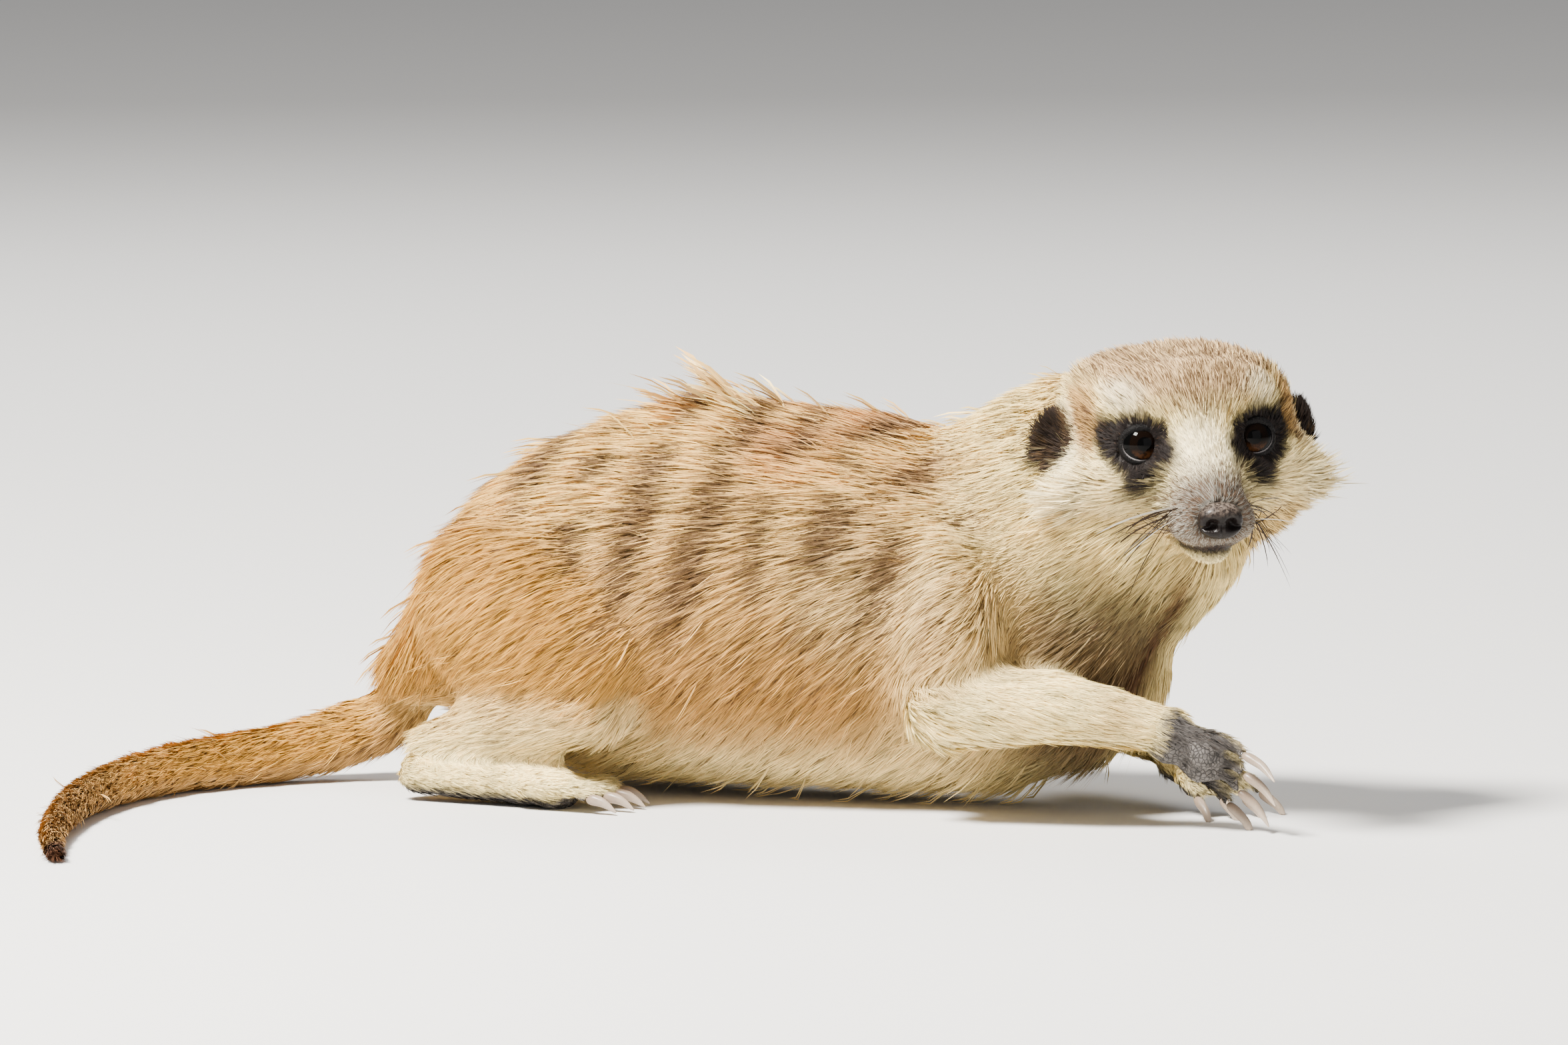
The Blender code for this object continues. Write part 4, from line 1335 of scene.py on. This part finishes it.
def nose_place(lean, way):
    """A place on the nose leather, in metres, with its nostrils, their slits and the groove below."""
    at = np.sign(way) * np.abs(way) ** 0.86 * NOSE_RADII
    for sign in (-1, 1):
        hole = np.array([(at[1] - sign * 0.19) / 0.13, (at[2] + 0.02) / 0.115])
        slit = np.array([(at[1] - sign * 0.34) / 0.13, (at[2] + 0.10) / 0.04])
        at[0] -= (0.24 * math.exp(-hole @ hole) + 0.09 * math.exp(-slit @ slit)) * (way[0] > 0)
    at[0] -= 0.05 * math.exp(-(at[1] / 0.035) ** 2) * (1 if at[2] < 0.02 else 0.25) * max(way[0], 0)
    return from_head(np.array(NOSE_AT) + at)


def nose_material():
    """Dark pebbled leather with dust on its upper side."""
    tree = MaterialTree("nose_leather")
    pebbles = tree.node("ShaderNodeTexVoronoi", {"Vector": tree.place(), "Scale": 2600.0})
    dust = tree.attribute("height").ranged(0.25, 1.0) * tree.noise(1500.0, 4.0).ranged(0.38, 0.66, 0.10, 1.0)
    colour = tree.mixed(dust, (0.006, 0.004, 0.0035, 1), (0.13, 0.10, 0.08, 1))
    return tree.principled(colour, 0.45, 0.10, {"Coat Weight": 0.12, "Coat Roughness": 0.12,
                                                "Normal": tree.bump(pebbles, 0.5, 0.00015, invert=True)})


class MEERKAT_OT_nose(bpy.types.Operator):
    """Build the nose leather with its nostrils and the groove below"""
    bl_idname = "meerkat.nose"
    bl_label = "Nose"

    def execute(self, context):
        nose = new_object("nose_leather", polar_mesh("nose_leather", 72, 96, nose_place))
        field(nose.data, "height", (in_head(places_in(nose.data))[:, 2] - NOSE_AT[2]) / NOSE_RADII[2])
        dress(nose, nose_material())
        settle(nose, "nose_skin", "nose")
        return {"FINISHED"}


class MEERKAT_OT_claws(bpy.types.Operator):
    """Round the claws into smooth horn, darker at the root and paler to the tip"""
    bl_idname = "meerkat.claws"
    bl_label = "Claws"

    def execute(self, context):
        tree = MaterialTree("claw_horn")
        tone = tree.mixed(tree.attribute("along"), (0.27, 0.19, 0.13, 1), (0.50, 0.40, 0.31, 1))
        finish = tree.principled(tree.shaded(tone, tree.noise(1800.0), 0.3), 0.35, 0.5)
        for limb, side in PAWS:
            nodes = [f"claw_{limb}_{side}_{k}" for k in TOES]
            claws = merged(f"claws_{limb}_{side}", nodes)
            mesh = modified(claws, "SUBSURF", levels=2, render_levels=2)
            places = places_in(mesh)
            along = np.zeros(len(places))
            for node in nodes:
                mine = in_box(places, node, MM / 2)
                away = np.linalg.norm(places[mine] - centre_of(f"paw_{limb}_{side}"), axis=1)
                along[mine] = (away - away.min()) / max(np.ptp(away), 1e-6)
            field(mesh, "along", along)
            dress(claws, finish)
            settle(claws, "claw_horn", *nodes)
        return {"FINISHED"}


# Lights: the way to it from the animal, distance and size in metres, power in watts and colour.
LIGHTS = {
    "key": ((-0.35, -0.55, 1.0), 1.3, 0.35, 94.0, (1.0, 0.965, 0.91)),
    "fill": ((1.0, -0.75, 0.30), 1.6, 1.4, 8.0, (1, 1, 1)),
    "rim": ((-0.45, 0.9, 0.8), 1.5, 0.8, 16.0, (1, 1, 1)),
}
LIT, AIM = Vector((0.01, 0.03, 0.05)), Vector((0.00631, 0.05082, 0.05746))   # where lights and camera point
LENS, LENS_DISTANCE = 330.6, 3.0          # mm for a distance in metres


def facing(way):
    """The turn of a lamp or camera that looks along a way."""
    return way.to_track_quat("-Z", "Y").to_euler()


class MEERKAT_OT_stage(bpy.types.Operator):
    """Set the pale floor, the soft studio lights and the camera"""
    bl_idname = "meerkat.stage"
    bl_label = "Stage"

    def execute(self, context):
        stage = context.scene.meerkat_stage
        tree = MaterialTree("studio_floor")
        colour = tree.mixed(tree.noise(220.0, 3.0), (*[c * 0.97 for c in stage.floor], 1), (*stage.floor, 1))
        sheet = bmesh.new()
        bmesh.ops.create_grid(sheet, x_segments=1, y_segments=1, size=6.0)
        floor = new_object("studio_floor", poured(sheet, "studio_floor"))
        dress(floor, tree.principled(colour, 0.85, 0.2))
        world = bpy.data.worlds.new("studio")
        world.use_nodes = True
        backdrop = world.node_tree.nodes["Background"].inputs
        backdrop[0].default_value, backdrop[1].default_value = (0.93, 0.95, 1.0, 1), 0.28
        context.scene.world = world
        for name, (way, distance, size, power, tone) in LIGHTS.items():
            lamp = bpy.data.lights.new(name, "AREA")
            lamp.size, lamp.energy, lamp.color = size, power, tone
            obj = new_object(name, lamp)
            obj.location = LIT + Vector(way).normalized() * distance
            obj.rotation_euler = facing(LIT - obj.location)
        turn, rise = stage.azimuth, stage.elevation
        back = Vector((math.sin(turn) * math.cos(rise), -math.cos(turn) * math.cos(rise), math.sin(rise)))
        (left, front, low), (right, rear, _) = CAD_BOX
        lens = bpy.data.cameras.new("camera")
        lens.sensor_width, lens.lens, lens.clip_end = 36.0, LENS * stage.distance / LENS_DISTANCE, 50.0
        camera = new_object("camera", lens)
        camera.location = Vector(((left + right) / 2, (front + rear) / 2, low)) + AIM + back * stage.distance
        camera.rotation_euler = facing(-back)
        context.scene.camera = camera
        return {"FINISHED"}


OPERATORS = (MEERKAT_OT_skin, MEERKAT_OT_whiskers, MEERKAT_OT_coat, MEERKAT_OT_eyes, MEERKAT_OT_lids,
             MEERKAT_OT_nose, MEERKAT_OT_claws, MEERKAT_OT_stage)
SETTINGS = (("meerkat_colours", MeerkatColours), ("meerkat_coat", MeerkatCoat),
            ("meerkat_stage", MeerkatStage))


class MEERKAT_PT_panel(bpy.types.Panel):
    """The meerkat's pieces and settings"""
    bl_label = "Meerkat"
    bl_idname = "MEERKAT_PT_panel"
    bl_space_type = "VIEW_3D"
    bl_region_type = "UI"
    bl_category = "Meerkat"

    def draw(self, context):
        for operator in OPERATORS:
            self.layout.operator(operator.bl_idname)
        for name, settings in SETTINGS:
            box = self.layout.box()
            for setting in settings.__annotations__:
                box.prop(getattr(context.scene, name), setting)


def register():
    for item in (*[settings for _, settings in SETTINGS], *OPERATORS, MEERKAT_PT_panel):
        bpy.utils.register_class(item)
    for name, settings in SETTINGS:
        setattr(bpy.types.Scene, name, PointerProperty(type=settings))


def unregister():
    for name, _ in SETTINGS:
        delattr(bpy.types.Scene, name)
    for item in (MEERKAT_PT_panel, *reversed(OPERATORS), *[settings for _, settings in SETTINGS]):
        bpy.utils.unregister_class(item)


def main():
    register()
    coat_colour_group()
    for operator in OPERATORS:
        getattr(bpy.ops.meerkat, operator.bl_idname.split(".")[1])()


if __name__ == "__main__":
    main()
